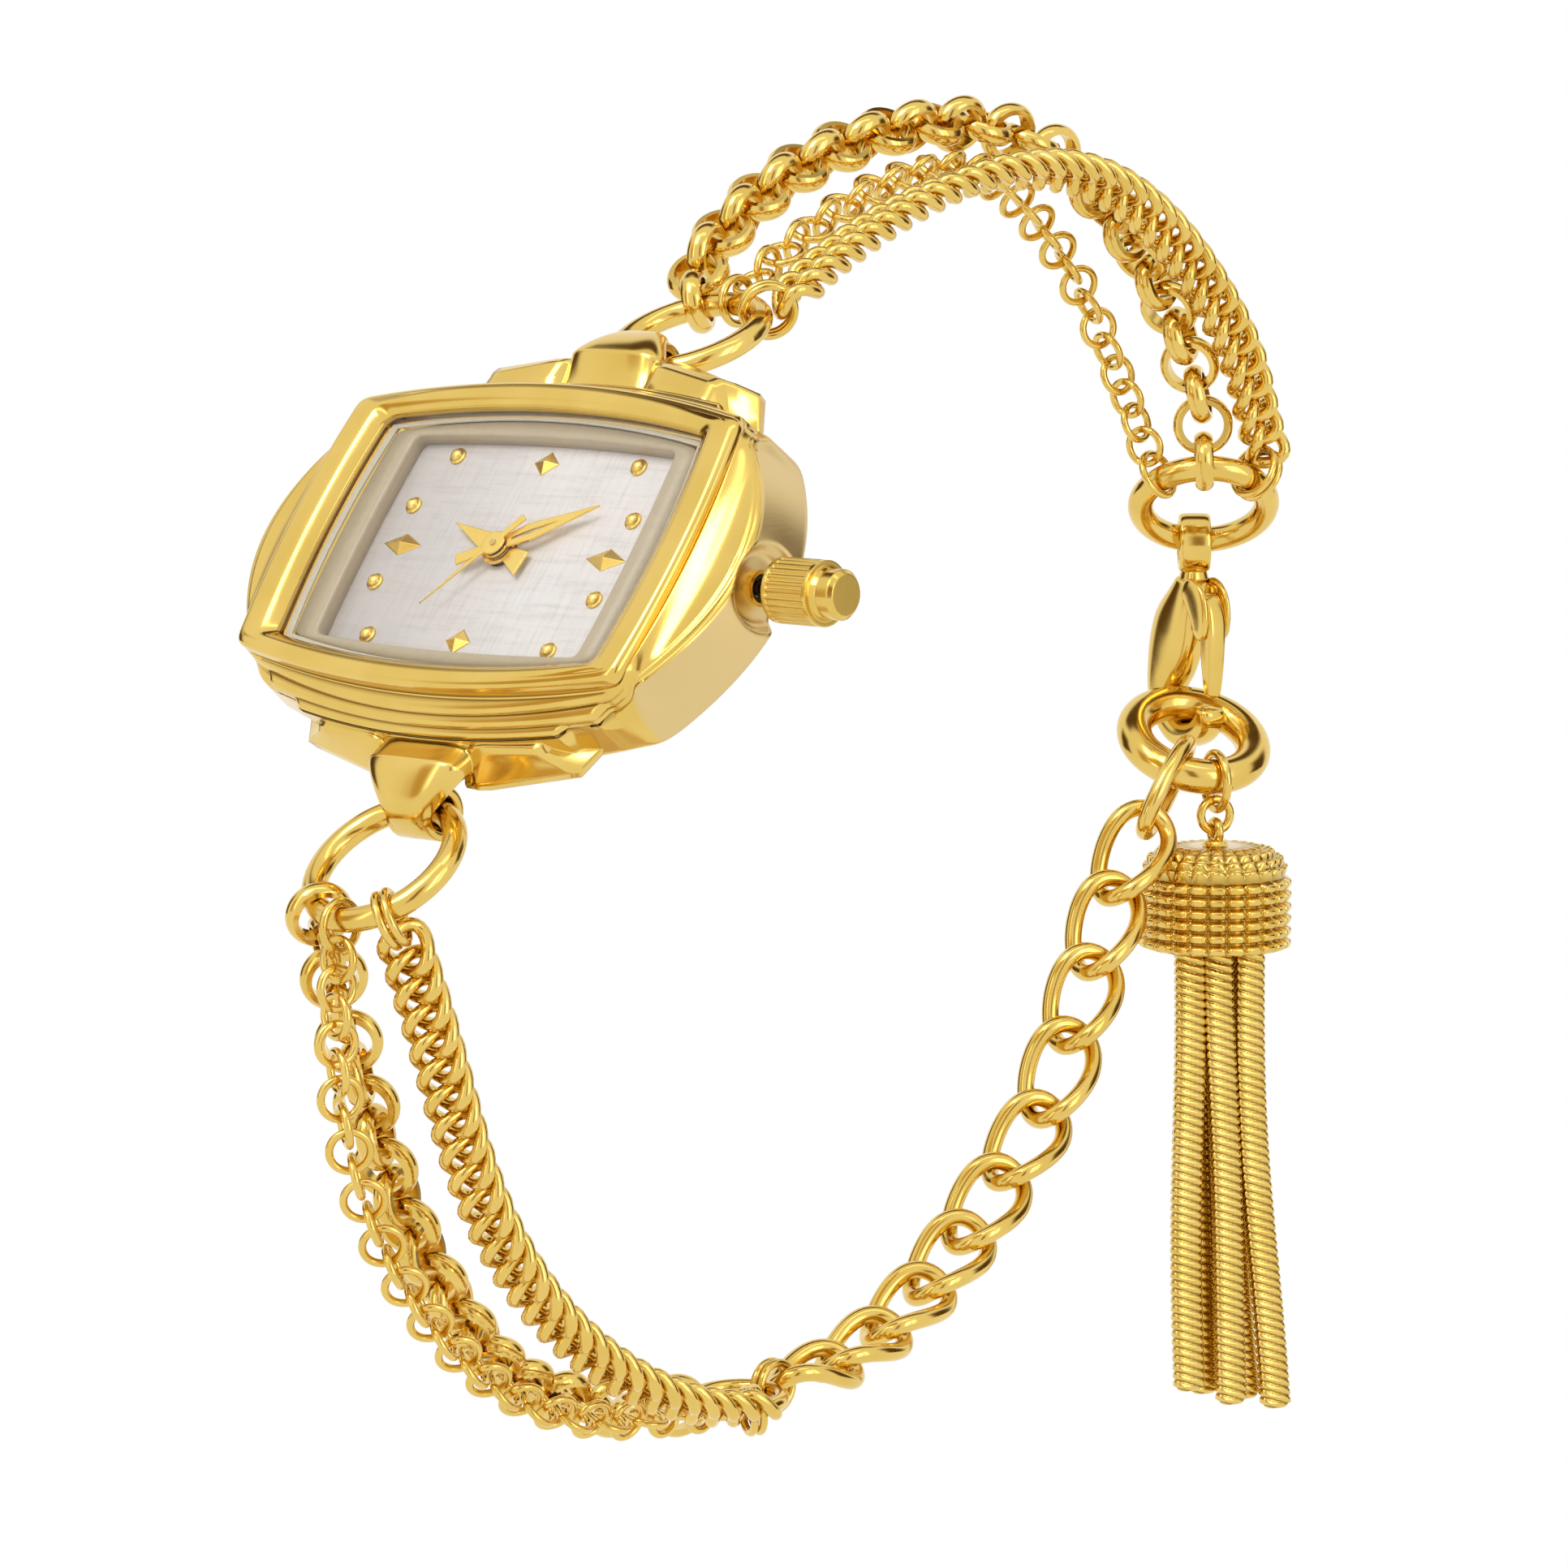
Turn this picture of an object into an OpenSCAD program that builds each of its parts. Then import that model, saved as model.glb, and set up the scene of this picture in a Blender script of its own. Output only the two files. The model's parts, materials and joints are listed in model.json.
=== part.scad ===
// Small dress watch on a three-strand chain bracelet with an extension chain and a tassel.
// Millimetres. Z is up as the watch hangs in use, X points to 3 o'clock, the dial faces -Y and
// leans back by dial_tilt. The origin is the middle of the case back's outer face.

/* [Case] */
// Angle between the dial's 6-12 line and the vertical
dial_tilt = 37.5; // [30:0.5:45]
// Half width of the bezel at its corners, towards 3 o'clock
bezel_hx = 12.0; // [11.6:0.1:12.6]
// Half height of the bezel at its corners, towards 12 o'clock
bezel_hy = 7.0; // [6.8:0.1:7.4]
// Outward bow of the bezel's left and right sides
bezel_bow_x = 0.5; // [0.2:0.1:0.8]
// Outward bow of the bezel's 12 and 6 sides
bezel_bow_y = 1.4; // [1:0.1:1.6]
// Height of the bezel ring
bezel_h = 1.1; // [0.9:0.05:1.4]
// Half width of the bezel's window at its corners
window_hx = 10.1; // [9.8:0.1:10.4]
// Half height of the bezel's window at its corners
window_hy = 6.15; // [6:0.05:6.3]
// Height of the case middle's top face above the case back's outer face
middle_top = 4.0; // [3.9:0.05:4.3]
// Height of the case middle's lower edge
middle_base = 0.5; // [0.4:0.05:0.6]
// How far the case sides bulge out past the bezel at 3 and 9 o'clock
flank_bulge = 3.3; // [2.9:0.1:3.5]
// Radius of the scooped facet above each flank
scoop_r = 3.0; // [2.8:0.1:3.2]
// Number of stepped ridges along the 12 and 6 sides
ridge_count = 3; // [2:1:3]
// How far each ridge stands out past the one above it
ridge_step = 0.47; // [0.4:0.01:0.5]
// Half width of the movement cavity
cavity_hx = 9.7; // [9.5:0.1:9.9]
// Half height of the movement cavity
cavity_hy = 5.9; // [5.8:0.05:6]
// Thickness of the case back's visible plate
back_plate_h = 0.5; // [0.4:0.05:0.6]
// How far the case back's plate reaches past the cavity
back_lip = 0.8; // [0.6:0.1:0.9]
// Height of the case back's step inside the cavity
back_step_h = 0.4; // [0.3:0.05:0.5]

/* [Dial and hands] */
// Height of the dial's face above the case back
dial_top = 3.25; // [3.2:0.05:3.35]
// Thickness of the dial
dial_h = 0.3; // [0.2:0.05:0.4]
// Half width of the dial that shows inside the inner ring
dial_view_hx = 8.3; // [8.1:0.1:8.5]
// Half height of the dial that shows inside the inner ring
dial_view_hy = 5.8; // [5.7:0.05:5.9]
// Thickness of the crystal
crystal_h = 0.85; // [0.7:0.05:0.95]
// Width of the crystal's bevel
crystal_bevel = 0.35; // [0.2:0.05:0.5]
// Distance from the dial's centre to the 3 and 9 o'clock diamonds
marker_x = 6.5; // [6.2:0.1:6.7]
// Distance from the dial's centre to the 12 and 6 o'clock diamonds
marker_y = 4.95; // [4.7:0.05:5.05]
// Half length of the 3 and 9 o'clock diamonds
diamond_long = 1.25; // [1:0.05:1.3]
// Half width of the 12 and 6 o'clock diamonds
diamond_wide = 0.8; // [0.6:0.05:0.9]
// Half of the diamonds' shorter diagonal
diamond_short = 0.62; // [0.5:0.02:0.7]
// Height of the diamonds and dots
marker_h = 0.26; // [0.18:0.02:0.3]
// Radius of the rim of each hour dot
dot_r = 0.36; // [0.3:0.02:0.4]
// Length of the minute hand from its hub
minute_len = 5.75; // [5.2:0.05:6]
// Length of the hour hand from its hub
hour_len = 3.65; // [3.2:0.05:4]
// Length of the second hand from its hub
second_len = 4.45; // [4:0.05:4.8]
// Clock angle of the minute hand
minute_angle = 64; // [0:1:359]
// Clock angle of the hour hand
hour_angle = 289; // [0:1:359]
// Clock angle of the second hand
second_angle = 217; // [0:1:359]
// Thickness of the hour and minute hands
hand_h = 0.12; // [0.1:0.01:0.14]

/* [Crown] */
// Height of the crown's axis above the case back's outer face
crown_n = 1.85; // [1.8:0.05:1.9]
// Outer radius of the fluted crown
crown_r = 1.5; // [1.3:0.05:1.6]
// Length of the fluted part
crown_flute_len = 2.6; // [2.2:0.1:3]
// Radius of the crown's plain cap
crown_cap_r = 1.15; // [1:0.05:1.25]
// Length of the crown's cap beyond the flutes
crown_cap_len = 1.15; // [0.8:0.05:1.4]
// Number of flutes
flute_count = 28; // [20:1:36]
// How far the crown is pulled out from its pushed-in place
crown_travel = 1.2; // [0.8:0.1:1.3]
// Gap between the crown's seat and the pushed-in crown
crown_rest_gap = 0.3; // [0.3:0.1:0.6]
// Radius of the winding stem
stem_r = 0.36; // [0.33:0.01:0.37]
// Radius of the crown tube's outside
tube_r = 0.85; // [0.8:0.01:0.95]

/* [Movement] */
// Gear module of the hands' wheels
gear_m = 0.12; // [0.12:0.01:0.12]
// Half width of the movement
move_hx = 8.4; // [8.2:0.1:8.6]
// Half height of the movement
move_hy = 5.0; // [4.9:0.05:5.1]
// Radius of the battery
battery_r = 2.9; // [2.7:0.05:2.95]
// Height of the battery
battery_h = 1.2; // [1:0.05:1.25]
// Running clearance round arbors and pipes
run_gap = 0.04; // [0.03:0.01:0.05]

/* [Lugs and rings] */
// Distance from the dial's centre to each lug's bore, towards 12 or 6 o'clock
lug_y = 12.4; // [12.2:0.1:12.6]
// Height of the lug's bore above the case back's outer face
lug_n = 0.4; // [0.3:0.05:0.6]
// Outer radius of the lug's barrel
barrel_r = 1.35; // [1.3:0.05:1.4]
// Half length of the lug's barrel
barrel_half = 1.7; // [1.5:0.1:1.8]
// Mean radius of the rings in the lugs
lug_ring_r = 3.6; // [3.5:0.05:3.8]
// Wire radius of the rings in the lugs
lug_wire = 0.58; // [0.5:0.02:0.6]
// Mean radius of the ring that carries the clasp
far_ring_r = 3.38; // [3.2:0.02:3.5]
// Wire radius of the ring that carries the clasp
far_wire = 0.68; // [0.6:0.02:0.7]
// Mean radius of the thick ring in the clasp's hook
end_ring_r = 3.27; // [3.1:0.02:3.4]
// Wire radius of the thick ring in the clasp's hook
end_wire = 0.95; // [0.9:0.02:1]

/* [Chains] */
// Outer radius of a belcher link
belcher_r = 1.6; // [1.5:0.05:1.7]
// Radial thickness of a belcher link's band
belcher_th = 0.5; // [0.45:0.05:0.55]
// Width of a belcher link's band
belcher_w = 0.95; // [0.8:0.05:1]
// Mean radius of a cable link
cable_r = 0.95; // [0.9:0.05:1]
// Wire radius of a cable link
cable_wire = 0.19; // [0.17:0.01:0.21]
// Half length of a curb link along its wire's centre line
curb_a = 1.1; // [1.05:0.05:1.2]
// Half width of a curb link along its wire's centre line
curb_b = 1.0; // [0.95:0.05:1.1]
// Wire radius of a curb link
curb_wire = 0.33; // [0.3:0.01:0.35]
// Wire radius of the small rings
tie_wire = 0.2; // [0.2:0.01:0.24]
// Least gap between two links where they bear on each other
link_gap = 0.04; // [0.03:0.01:0.06]

/* [Clasp] */
// Turn of the clasp about the vertical
clasp_yaw = -14; // [-20:1:-10]
// Length of the clasp's hook
clasp_len = 8.6; // [8.4:0.1:9]
// Width of the clasp's hook
clasp_w = 5.4; // [5.2:0.1:5.8]
// Thickness of the clasp's hook
clasp_th = 1.8; // [1.7:0.1:1.9]
// Radius of the hook's eye
clasp_eye_r = 1.85; // [1.75:0.05:1.85]
// Width of the lever and of its slot
lever_w = 1.0; // [0.8:0.1:1.2]

/* [Extension] */
// Half length of an extension link along its wire's centre line
ext_a = 2.75; // [2.6:0.05:2.8]
// Half width of an extension link along its wire's centre line
ext_b = 1.65; // [1.6:0.05:1.7]
// Wire radius of an extension link
ext_wire = 0.46; // [0.42:0.02:0.48]
// Mean radius of the ring that joins the chains to the extension
joint_ring_r = 2.3; // [2.2:0.05:2.5]
// Wire radius of the joining ring
joint_wire = 0.4; // [0.36:0.02:0.42]

/* [Tassel] */
// Outer radius of the tassel's cap
cap_r = 4.1; // [3.8:0.05:4.2]
// Height of the cap's ribbed skirt
skirt_h = 3.9; // [3.6:0.1:4.3]
// Height of the cap's dome
dome_h = 1.7; // [1.5:0.1:2]
// Number of bars round the cap
bar_count = 24; // [18:1:28]
// Number of rows of bars
bar_rows = 6; // [5:1:7]
// Width of a strand
strand_w = 1.8; // [1.6:0.05:1.85]
// Thickness of a strand
strand_th = 1.0; // [0.8:0.05:1.1]
// Length of the longest strand below the cap
strand_len = 25.5; // [22:0.5:28]

/* [Hidden] */

gold = [0.86, 0.68, 0.28];
pale_gold = [0.92, 0.78, 0.45];
steel = [0.7, 0.7, 0.72];
brass = [0.78, 0.62, 0.3];
plastic = [0.85, 0.85, 0.8];
rubber = [0.12, 0.12, 0.12];

$fn = 48;
// Facets of the long shallow arcs of the case
arc_fn = 720;
// Small overlap that joins solids of one piece
weld = 0.05;

Z = [0, 0, 1];
X = [1, 0, 0];

function unit(v) = v / norm(v);
// A vector with its part along t removed
function square_to(v, t) = unit(v - t * (v * t));
// Level direction at a turn about the vertical
function level(yaw) = [cos(yaw), sin(yaw), 0];
// A point given in the case's own directions: 3 o'clock, 12 o'clock, out of the dial
function case_point(x, y, n) = [x, y * sin(dial_tilt) - n * cos(dial_tilt),
    y * cos(dial_tilt) + n * sin(dial_tilt)];
// Radius of an arc that bows by b over a half chord c
function bow_r(b, c) = (b * b + c * c) / (2 * b);

module in_case() rotate([90 - dial_tilt, 0, 0]) children();

// Places children with x along l, z along t and y square to both
module in_frame(p, t, l) {
    n = cross(t, l);
    multmatrix([[l.x, n.x, t.x, p.x], [l.y, n.y, t.y, p.y], [l.z, n.z, t.z, p.z], [0, 0, 0, 1]])
        children();
}

// Block with four bowed sides. hx, hy: half sizes at the corners. bx, by: bows of the sides.
// lean: how far each side leans in over the height h.
module bowed(hx, hy, bx, by, h, lean = 0) {
    rx = bow_r(bx, hy);
    ry = bow_r(by, hx);
    intersection() {
        translate([hx + bx - rx, 0, 0]) cylinder(h = h, r1 = rx, r2 = rx - lean, $fn = arc_fn);
        translate([-hx - bx + rx, 0, 0]) cylinder(h = h, r1 = rx, r2 = rx - lean, $fn = arc_fn);
        translate([0, hy + by - ry, 0]) cylinder(h = h, r1 = ry, r2 = ry - lean, $fn = arc_fn);
        translate([0, -hy - by + ry, 0]) cylinder(h = h, r1 = ry, r2 = ry - lean, $fn = arc_fn);
    }
}

// Spur gear outline with straight-flanked teeth
module gear(teeth, m, h, bore = 0) {
    pitch_r = teeth * m / 2;
    step = 360 / teeth;
    tip = pitch_r + 0.8 * m;
    root = pitch_r - 1.1 * m;
    difference() {
        linear_extrude(h) polygon([for (i = [0:teeth - 1], c = [[-0.36, root], [-0.12, tip],
            [0.12, tip], [0.36, root]]) c[1] * [cos((i + c[0]) * step), sin((i + c[0]) * step)]]);
        if (bore > 0) translate([0, 0, -1]) cylinder(h = h + 2, r = bore);
    }
}

module torus(r, wire, fine = 48) rotate_extrude($fn = fine) translate([r, 0]) circle(wire, $fn = 24);

/* Case */
bezel_base = middle_top;
bezel_top = bezel_base + bezel_h;
ridge_h = (bezel_base - 3.0) / 3;
window_bow_x = 0.45;
window_bow_y = 0.9;
pocket_gap = 0.06;
seat_r = 2.0;
flank_x = bezel_hx + flank_bulge;
seat_floor_x = flank_x - 0.6;
tube_end_x = seat_floor_x + 0.3;

module ridges() {
    for (i = [0:ridge_count - 1]) {
        top = bezel_base - i * ridge_h;
        middle_y = bezel_hy + bezel_bow_y + (i + 1) * ridge_step;
        bow = 0.9 - 0.1 * i;
        hx = bezel_hx - 1.0 - 0.9 * i;
        translate([0, 0, top - ridge_h * 0.6]) bowed(hx, middle_y - bow, 0.4, bow, ridge_h * 0.6, 0.22);
        translate([0, 0, top - ridge_h * 0.6]) mirror([0, 0, 1])
            bowed(hx, middle_y - bow, 0.4, bow, ridge_h * 0.4 + weld, 0.1);
    }
}

flank_h = bezel_top - 0.3 - middle_base;
flank_hy = bezel_hy + 0.15;

// Round segment that bulges out past the bezel at 3 o'clock
module flank() {
    r = bow_r(flank_bulge - 0.1, flank_hy);
    intersection() {
        translate([flank_x - r, 0, 0]) cylinder(h = flank_h, r1 = r + 0.25, r2 = r, $fn = 360);
        translate([bezel_hx - 3, -flank_hy, 0]) cube([10, 2 * flank_hy, flank_h]);
    }
}

module flank_body() {
    difference() {
        translate([0, 0, middle_base]) {
            bowed(bezel_hx + 0.1, flank_hy, 0.5, bezel_bow_y, flank_h);
            for (s = [0, 1]) mirror([s, 0, 0]) flank();
        }
        for (s = [-1, 1]) {
            translate([s * (flank_x - 0.25), 0, bezel_top + 1.5])
                rotate([90, 0, 0]) cylinder(h = 30, r = scoop_r, center = true, $fn = 96);
            translate([-bezel_hx - pocket_gap, s * (bezel_hy + 4.5) - 5, bezel_base])
                cube([2 * (bezel_hx + pocket_gap), 10, 2]);
        }
        translate([0, 0, bezel_base])
            bowed(bezel_hx + pocket_gap, bezel_hy + pocket_gap, bezel_bow_x, bezel_bow_y, 2);
    }
}

hood_root_half = 2.35;
hood_wide_half = 2.65;
hood_tip_half = 1.05;
hood_bend_y = 11.2;
hood_tip_y = lug_y + 0.95;
body_y = bezel_hy + bezel_bow_y + 3 * ridge_step;

// One lug on the 12 o'clock side: barrel, bent hood and two stepped wings.
// reach: how much further out the hood and the wings stand.
module lug(reach) {
    bend_y = hood_bend_y + reach;
    tip_y = hood_tip_y + reach;
    translate([-barrel_half, lug_y, lug_n]) rotate([0, 90, 0])
        cylinder(h = 2 * barrel_half, r = barrel_r);
    intersection() {
        linear_extrude(4) polygon([[-hood_root_half, bezel_hy], [hood_root_half, bezel_hy],
            [hood_root_half, body_y], [hood_wide_half, bend_y - 0.2], [hood_wide_half - 0.15, bend_y + 0.3],
            [hood_tip_half + 0.25, tip_y - 0.35], [hood_tip_half - 0.1, tip_y],
            [-hood_tip_half + 0.1, tip_y], [-hood_tip_half - 0.25, tip_y - 0.35],
            [-hood_wide_half + 0.15, bend_y + 0.3], [-hood_wide_half, bend_y - 0.2],
            [-hood_root_half, body_y]]);
        translate([-5, 0, 0]) rotate([90, 0, 90]) linear_extrude(10)
            polygon([[bezel_hy, middle_base + 0.1], [bezel_hy, 3.0], [body_y, 2.95], [bend_y - 0.35, 2.5],
                [bend_y, 2.2], [tip_y - 0.25, 1.15], [tip_y, 0.9], [tip_y, 0.7],
                [lug_y, lug_n], [lug_y - 1.2, -0.2], [9.4, middle_base + 0.1]]);
        hood_edge();
        mirror([1, 0, 0]) hood_edge();
    }
    for (s = [0, 1]) mirror([s, 0, 0]) wing(reach);
}

// Half space under the chamfer along one long edge of the hood
module hood_edge() {
    translate([hood_root_half - 0.35, 0, 3.05]) rotate([0, 38, 0]) translate([-12, 0, -8]) cube([24, 20, 8]);
}

// Stepped wing beside the hood: narrow ledge, step, and a long facet down to a low outer edge
module wing(reach) {
    intersection() {
        linear_extrude(4) polygon([[3.0, 8.6], [8.9, 8.0], [8.75, 9.65 + reach], [6.75, 10.45 + reach],
            [3.0, 11.35 + reach], [2.6, 10.9 + reach], [3.5, 9.9], [3.75, 9.2]]);
        rotate([90, 0, 90]) linear_extrude(10)
            polygon([[8.0, middle_base + 0.05], [8.0, 2.75], [body_y - 0.25, 2.75], [body_y, 2.6],
                [body_y + 0.05, 2.35], [body_y + 0.3, 2.25], [10.6 + reach, 1.4],
                [11.35 + reach, 0.95], [11.35 + reach, 0.45],
                [10.6, middle_base + 0.05]]);
        wing_end();
    }
}

// Half space under the wing's outer facet
module wing_end() {
    translate([7.0, 0, 2.8]) rotate([0, 44, 0]) translate([-14, 0, -10]) cube([28, 20, 10]);
}

module case_middle() color(gold) in_case() difference() {
    union() {
        flank_body();
        ridges();
        lug(0.5);
        mirror([0, 1, 0]) lug(0);
        translate([0, 0, middle_base]) bowed(bezel_hx, body_y - 2.2, 0.9, 2.2, 2.6);
    }
    translate([0, 0, -1]) bowed(cavity_hx, cavity_hy, 0.3, 0.3, 8);
    translate([0, 0, middle_base - 1]) bowed(cavity_hx + back_lip + pocket_gap,
        cavity_hy + back_lip + pocket_gap, 0.3, 0.3, 1 + 0.02);
    for (s = [-1, 1]) translate([-barrel_half - 3, s * lug_y, lug_n]) rotate([0, 90, 0])
        cylinder(h = 2 * barrel_half + 6, r = lug_bore_r);
    translate([seat_floor_x, 0, crown_n]) rotate([0, 90, 0]) cylinder(h = 3, r = seat_r);
    translate([cavity_hx - 1, 0, crown_n]) rotate([0, 90, 0]) cylinder(h = 6, r = tube_r);
}

module bezel() color(gold) in_case() translate([0, 0, bezel_base]) difference() {
    intersection() {
        bowed(bezel_hx, bezel_hy, bezel_bow_x, bezel_bow_y, bezel_h);
        translate([0, 0, -0.6]) bowed(bezel_hx + 0.45, bezel_hy + 0.3, bezel_bow_x, bezel_bow_y,
            bezel_h + 0.6, 0.75);
    }
    translate([0, 0, -1]) bowed(window_hx, window_hy, window_bow_x, window_bow_y, 4);
    translate([0, 0, bezel_h - 0.25]) bowed_flare();
}

// Sloping inner edge of the bezel's window
module bowed_flare() {
    intersection() {
        rx = bow_r(window_bow_x, window_hy);
        ry = bow_r(window_bow_y, window_hx);
        for_side_x(rx);
        for_side_y(ry);
    }
}

module for_side_x(rx) intersection() {
    translate([window_hx + window_bow_x - rx, 0, 0]) cylinder(h = 0.5, r1 = rx, r2 = rx + 0.6, $fn = arc_fn);
    translate([-window_hx - window_bow_x + rx, 0, 0]) cylinder(h = 0.5, r1 = rx, r2 = rx + 0.6, $fn = arc_fn);
}

module for_side_y(ry) intersection() {
    translate([0, window_hy + window_bow_y - ry, 0]) cylinder(h = 0.5, r1 = ry, r2 = ry + 0.3, $fn = arc_fn);
    translate([0, -window_hy - window_bow_y + ry, 0]) cylinder(h = 0.5, r1 = ry, r2 = ry + 0.3, $fn = arc_fn);
}

glass_gap = 0.12;
crystal_base = bezel_top - 0.05 - crystal_h;
inner_ring_out_x = window_hx - 0.35;
inner_ring_out_y = window_hy - 0.35;

module crystal() color([0.9, 0.95, 1, 0.35]) in_case() translate([0, 0, crystal_base]) {
    bowed(window_hx - glass_gap, window_hy - glass_gap, window_bow_x, window_bow_y,
        crystal_h - crystal_bevel);
    translate([0, 0, crystal_h - crystal_bevel - 0.001])
        bowed(window_hx - glass_gap, window_hy - glass_gap, window_bow_x, window_bow_y,
            crystal_bevel + 0.001, crystal_bevel);
}

module crystal_gasket() color(rubber) in_case() translate([0, 0, crystal_base - 0.12]) difference() {
    bowed(window_hx - glass_gap, window_hy - glass_gap, window_bow_x, window_bow_y, 0.1);
    translate([0, 0, -1]) bowed(window_hx - 0.5, window_hy - 0.3, window_bow_x, window_bow_y, 3);
}

module inner_ring() color(pale_gold) in_case() translate([0, 0, dial_top + 0.02]) difference() {
    bowed(cavity_hx - 0.1, cavity_hy - 0.1, 0.3, 0.3, crystal_base - 0.14 - dial_top - 0.02);
    translate([0, 0, -1]) bowed(dial_view_hx, dial_view_hy - 0.15, 0.3, 0.2, 5);
}

module dial() color([0.95, 0.92, 0.88]) in_case() translate([0, 0, dial_top - dial_h]) difference() {
    bowed(cavity_hx - 0.1, cavity_hy - 0.1, 0.3, 0.3, dial_h);
    translate([0, 0, -1]) cylinder(h = 3, r = dial_hole_r);
}

module case_back() color(gold) in_case() {
    bowed(cavity_hx + back_lip, cavity_hy + back_lip, 0.3, 0.3, back_plate_h);
    translate([0, 0, back_plate_h - weld]) difference() {
        bowed(cavity_hx - run_gap, cavity_hy - run_gap, 0.3, 0.3, back_step_h + weld);
        translate([0, 0, weld]) bowed(cavity_hx - 0.9, cavity_hy - 0.9, 0.3, 0.3, 3);
    }
}

module case_back_gasket() color(rubber) in_case() translate([0, 0, back_plate_h + 0.03]) difference() {
    bowed(cavity_hx - 0.95, cavity_hy - 0.95, 0.3, 0.3, 0.3);
    translate([0, 0, -1]) bowed(cavity_hx - 1.35, cavity_hy - 1.35, 0.3, 0.3, 3);
}

/* Hour markers and hands */
function diamond_points(hx, hy, h) = [[-hx, 0, 0], [0, -hy, 0], [hx, 0, 0], [0, hy, 0], [0, 0, h]];
module diamond(hx, hy) translate([0, 0, dial_top]) polyhedron(diamond_points(hx, hy, marker_h),
    [[0, 1, 2, 3], [1, 0, 4], [2, 1, 4], [3, 2, 4], [0, 3, 4]]);

module hour_diamonds() color(gold) in_case() for (s = [-1, 1]) {
    translate([s * marker_x, 0, 0]) diamond(diamond_long, diamond_short);
    translate([0, s * marker_y, 0]) diamond(diamond_wide, diamond_short + 0.06);
}

dot_places = [[0.89, 0.98], [1.08, 0.42]];
module hour_dots() color(gold) in_case() for (p = dot_places, sx = [-1, 1], sy = [-1, 1])
    translate([sx * p[0] * marker_x, sy * p[1] * (marker_y + 0.2), dial_top]) rotate_extrude()
        polygon([[0, 0], [dot_r, 0], [dot_r, 0.08], [dot_r * 0.75, 0.12], [dot_r * 0.7, 0.08],
            [dot_r * 0.62, 0.16], [dot_r * 0.35, marker_h - 0.03], [0, marker_h]]);

hour_hand_n = dial_top + 0.3;
minute_hand_n = hour_hand_n + hand_h + 0.12;
second_hand_n = minute_hand_n + hand_h + 0.1;
second_arbor_r = 0.16;
cannon_r = 0.42;
hour_pipe_r = 0.66;
dial_hole_r = hour_pipe_r + 0.14;

module hour_hand() color(gold) in_case() translate([0, 0, hour_hand_n]) rotate(-hour_angle)
    difference() {
        linear_extrude(hand_h) union() {
            circle(hour_pipe_r + 0.22);
            polygon([[0, hour_len], [-0.62, 0.3], [-0.3, -0.4], [-0.75, -2.1], [0.55, -1.9],
                [0.3, -0.4], [0.62, 0.3]]);
        }
        translate([0, 0, -1]) cylinder(h = 3, r = hour_pipe_r);
    }

module minute_hand() color(gold) in_case() translate([0, 0, minute_hand_n]) rotate(-minute_angle)
    difference() {
        linear_extrude(hand_h) difference() {
            union() {
                circle(cannon_r + 0.26);
                polygon([[0, minute_len], [-0.5, 1.9], [-0.22, -0.3], [-0.3, -2.2], [0.3, -2.2],
                    [0.22, -0.3], [0.5, 1.9]]);
            }
            polygon([[0, minute_len - 2.2], [-0.11, 1.9], [-0.07, 0.9], [0.07, 0.9], [0.11, 1.9]]);
        }
        translate([0, 0, -1]) cylinder(h = 3, r = cannon_r);
    }

module second_hand() color(gold) in_case() translate([0, 0, second_hand_n]) rotate(-second_angle)
    difference() {
        linear_extrude(0.08) union() {
            circle(0.62);
            polygon([[0, second_len], [-0.1, 0.4], [-0.14, -0.5], [-0.2, -1.9], [0.2, -1.9],
                [0.14, -0.5], [0.1, 0.4]]);
        }
        translate([0, 0, -1]) cylinder(h = 3, r = second_arbor_r);
    }

/* Movement */
plate_base = 1.55;
plate_h = 0.82;
work_n = plate_base + plate_h + 0.06;
gear_h = 0.16;
cannon_teeth = 10;
minute_teeth = 30;
minute_pinion_teeth = 8;
hour_teeth = 32;
setting_teeth = 15;
slide_teeth = 10;
train_m = 0.1;
step_m = 0.08;
seconds_teeth = 40;
step_pinion_teeth = 8;
step_teeth = 36;
rotor_teeth = 6;
train_n = 1.3;
step_n = 1.06;
minute_x = (cannon_teeth + minute_teeth) / 2 * gear_m;
setting_x = minute_x + (minute_teeth + setting_teeth) / 2 * gear_m;
step_at = (seconds_teeth + step_pinion_teeth) / 2 * train_m * [cos(-72), sin(-72)];
rotor_at = step_at + (step_teeth + rotor_teeth) / 2 * step_m * [cos(-18), sin(-18)];
battery_at = [-5.1, 0.7];
pinion_x = setting_x + (setting_teeth / 2 + 0.8) * gear_m + 0.06;
pinion_len = 0.8;
post_r = 0.2;

module movement_holder() color(plastic) in_case() translate([0, 0, back_plate_h + back_step_h + 0.05])
    difference() {
        bowed(cavity_hx - 0.12, cavity_hy - 0.12, 0.3, 0.3, dial_top - dial_h - 0.04
            - back_plate_h - back_step_h - 0.05);
        translate([0, 0, -1]) bowed(move_hx + 0.06, move_hy + 0.06, 0.25, 0.25, 5);
        translate([move_hx - 1, 0, crown_n - back_plate_h - back_step_h - 0.05]) rotate([0, 90, 0])
            cylinder(h = 5, r = tube_r + 0.06);
    }

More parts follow.
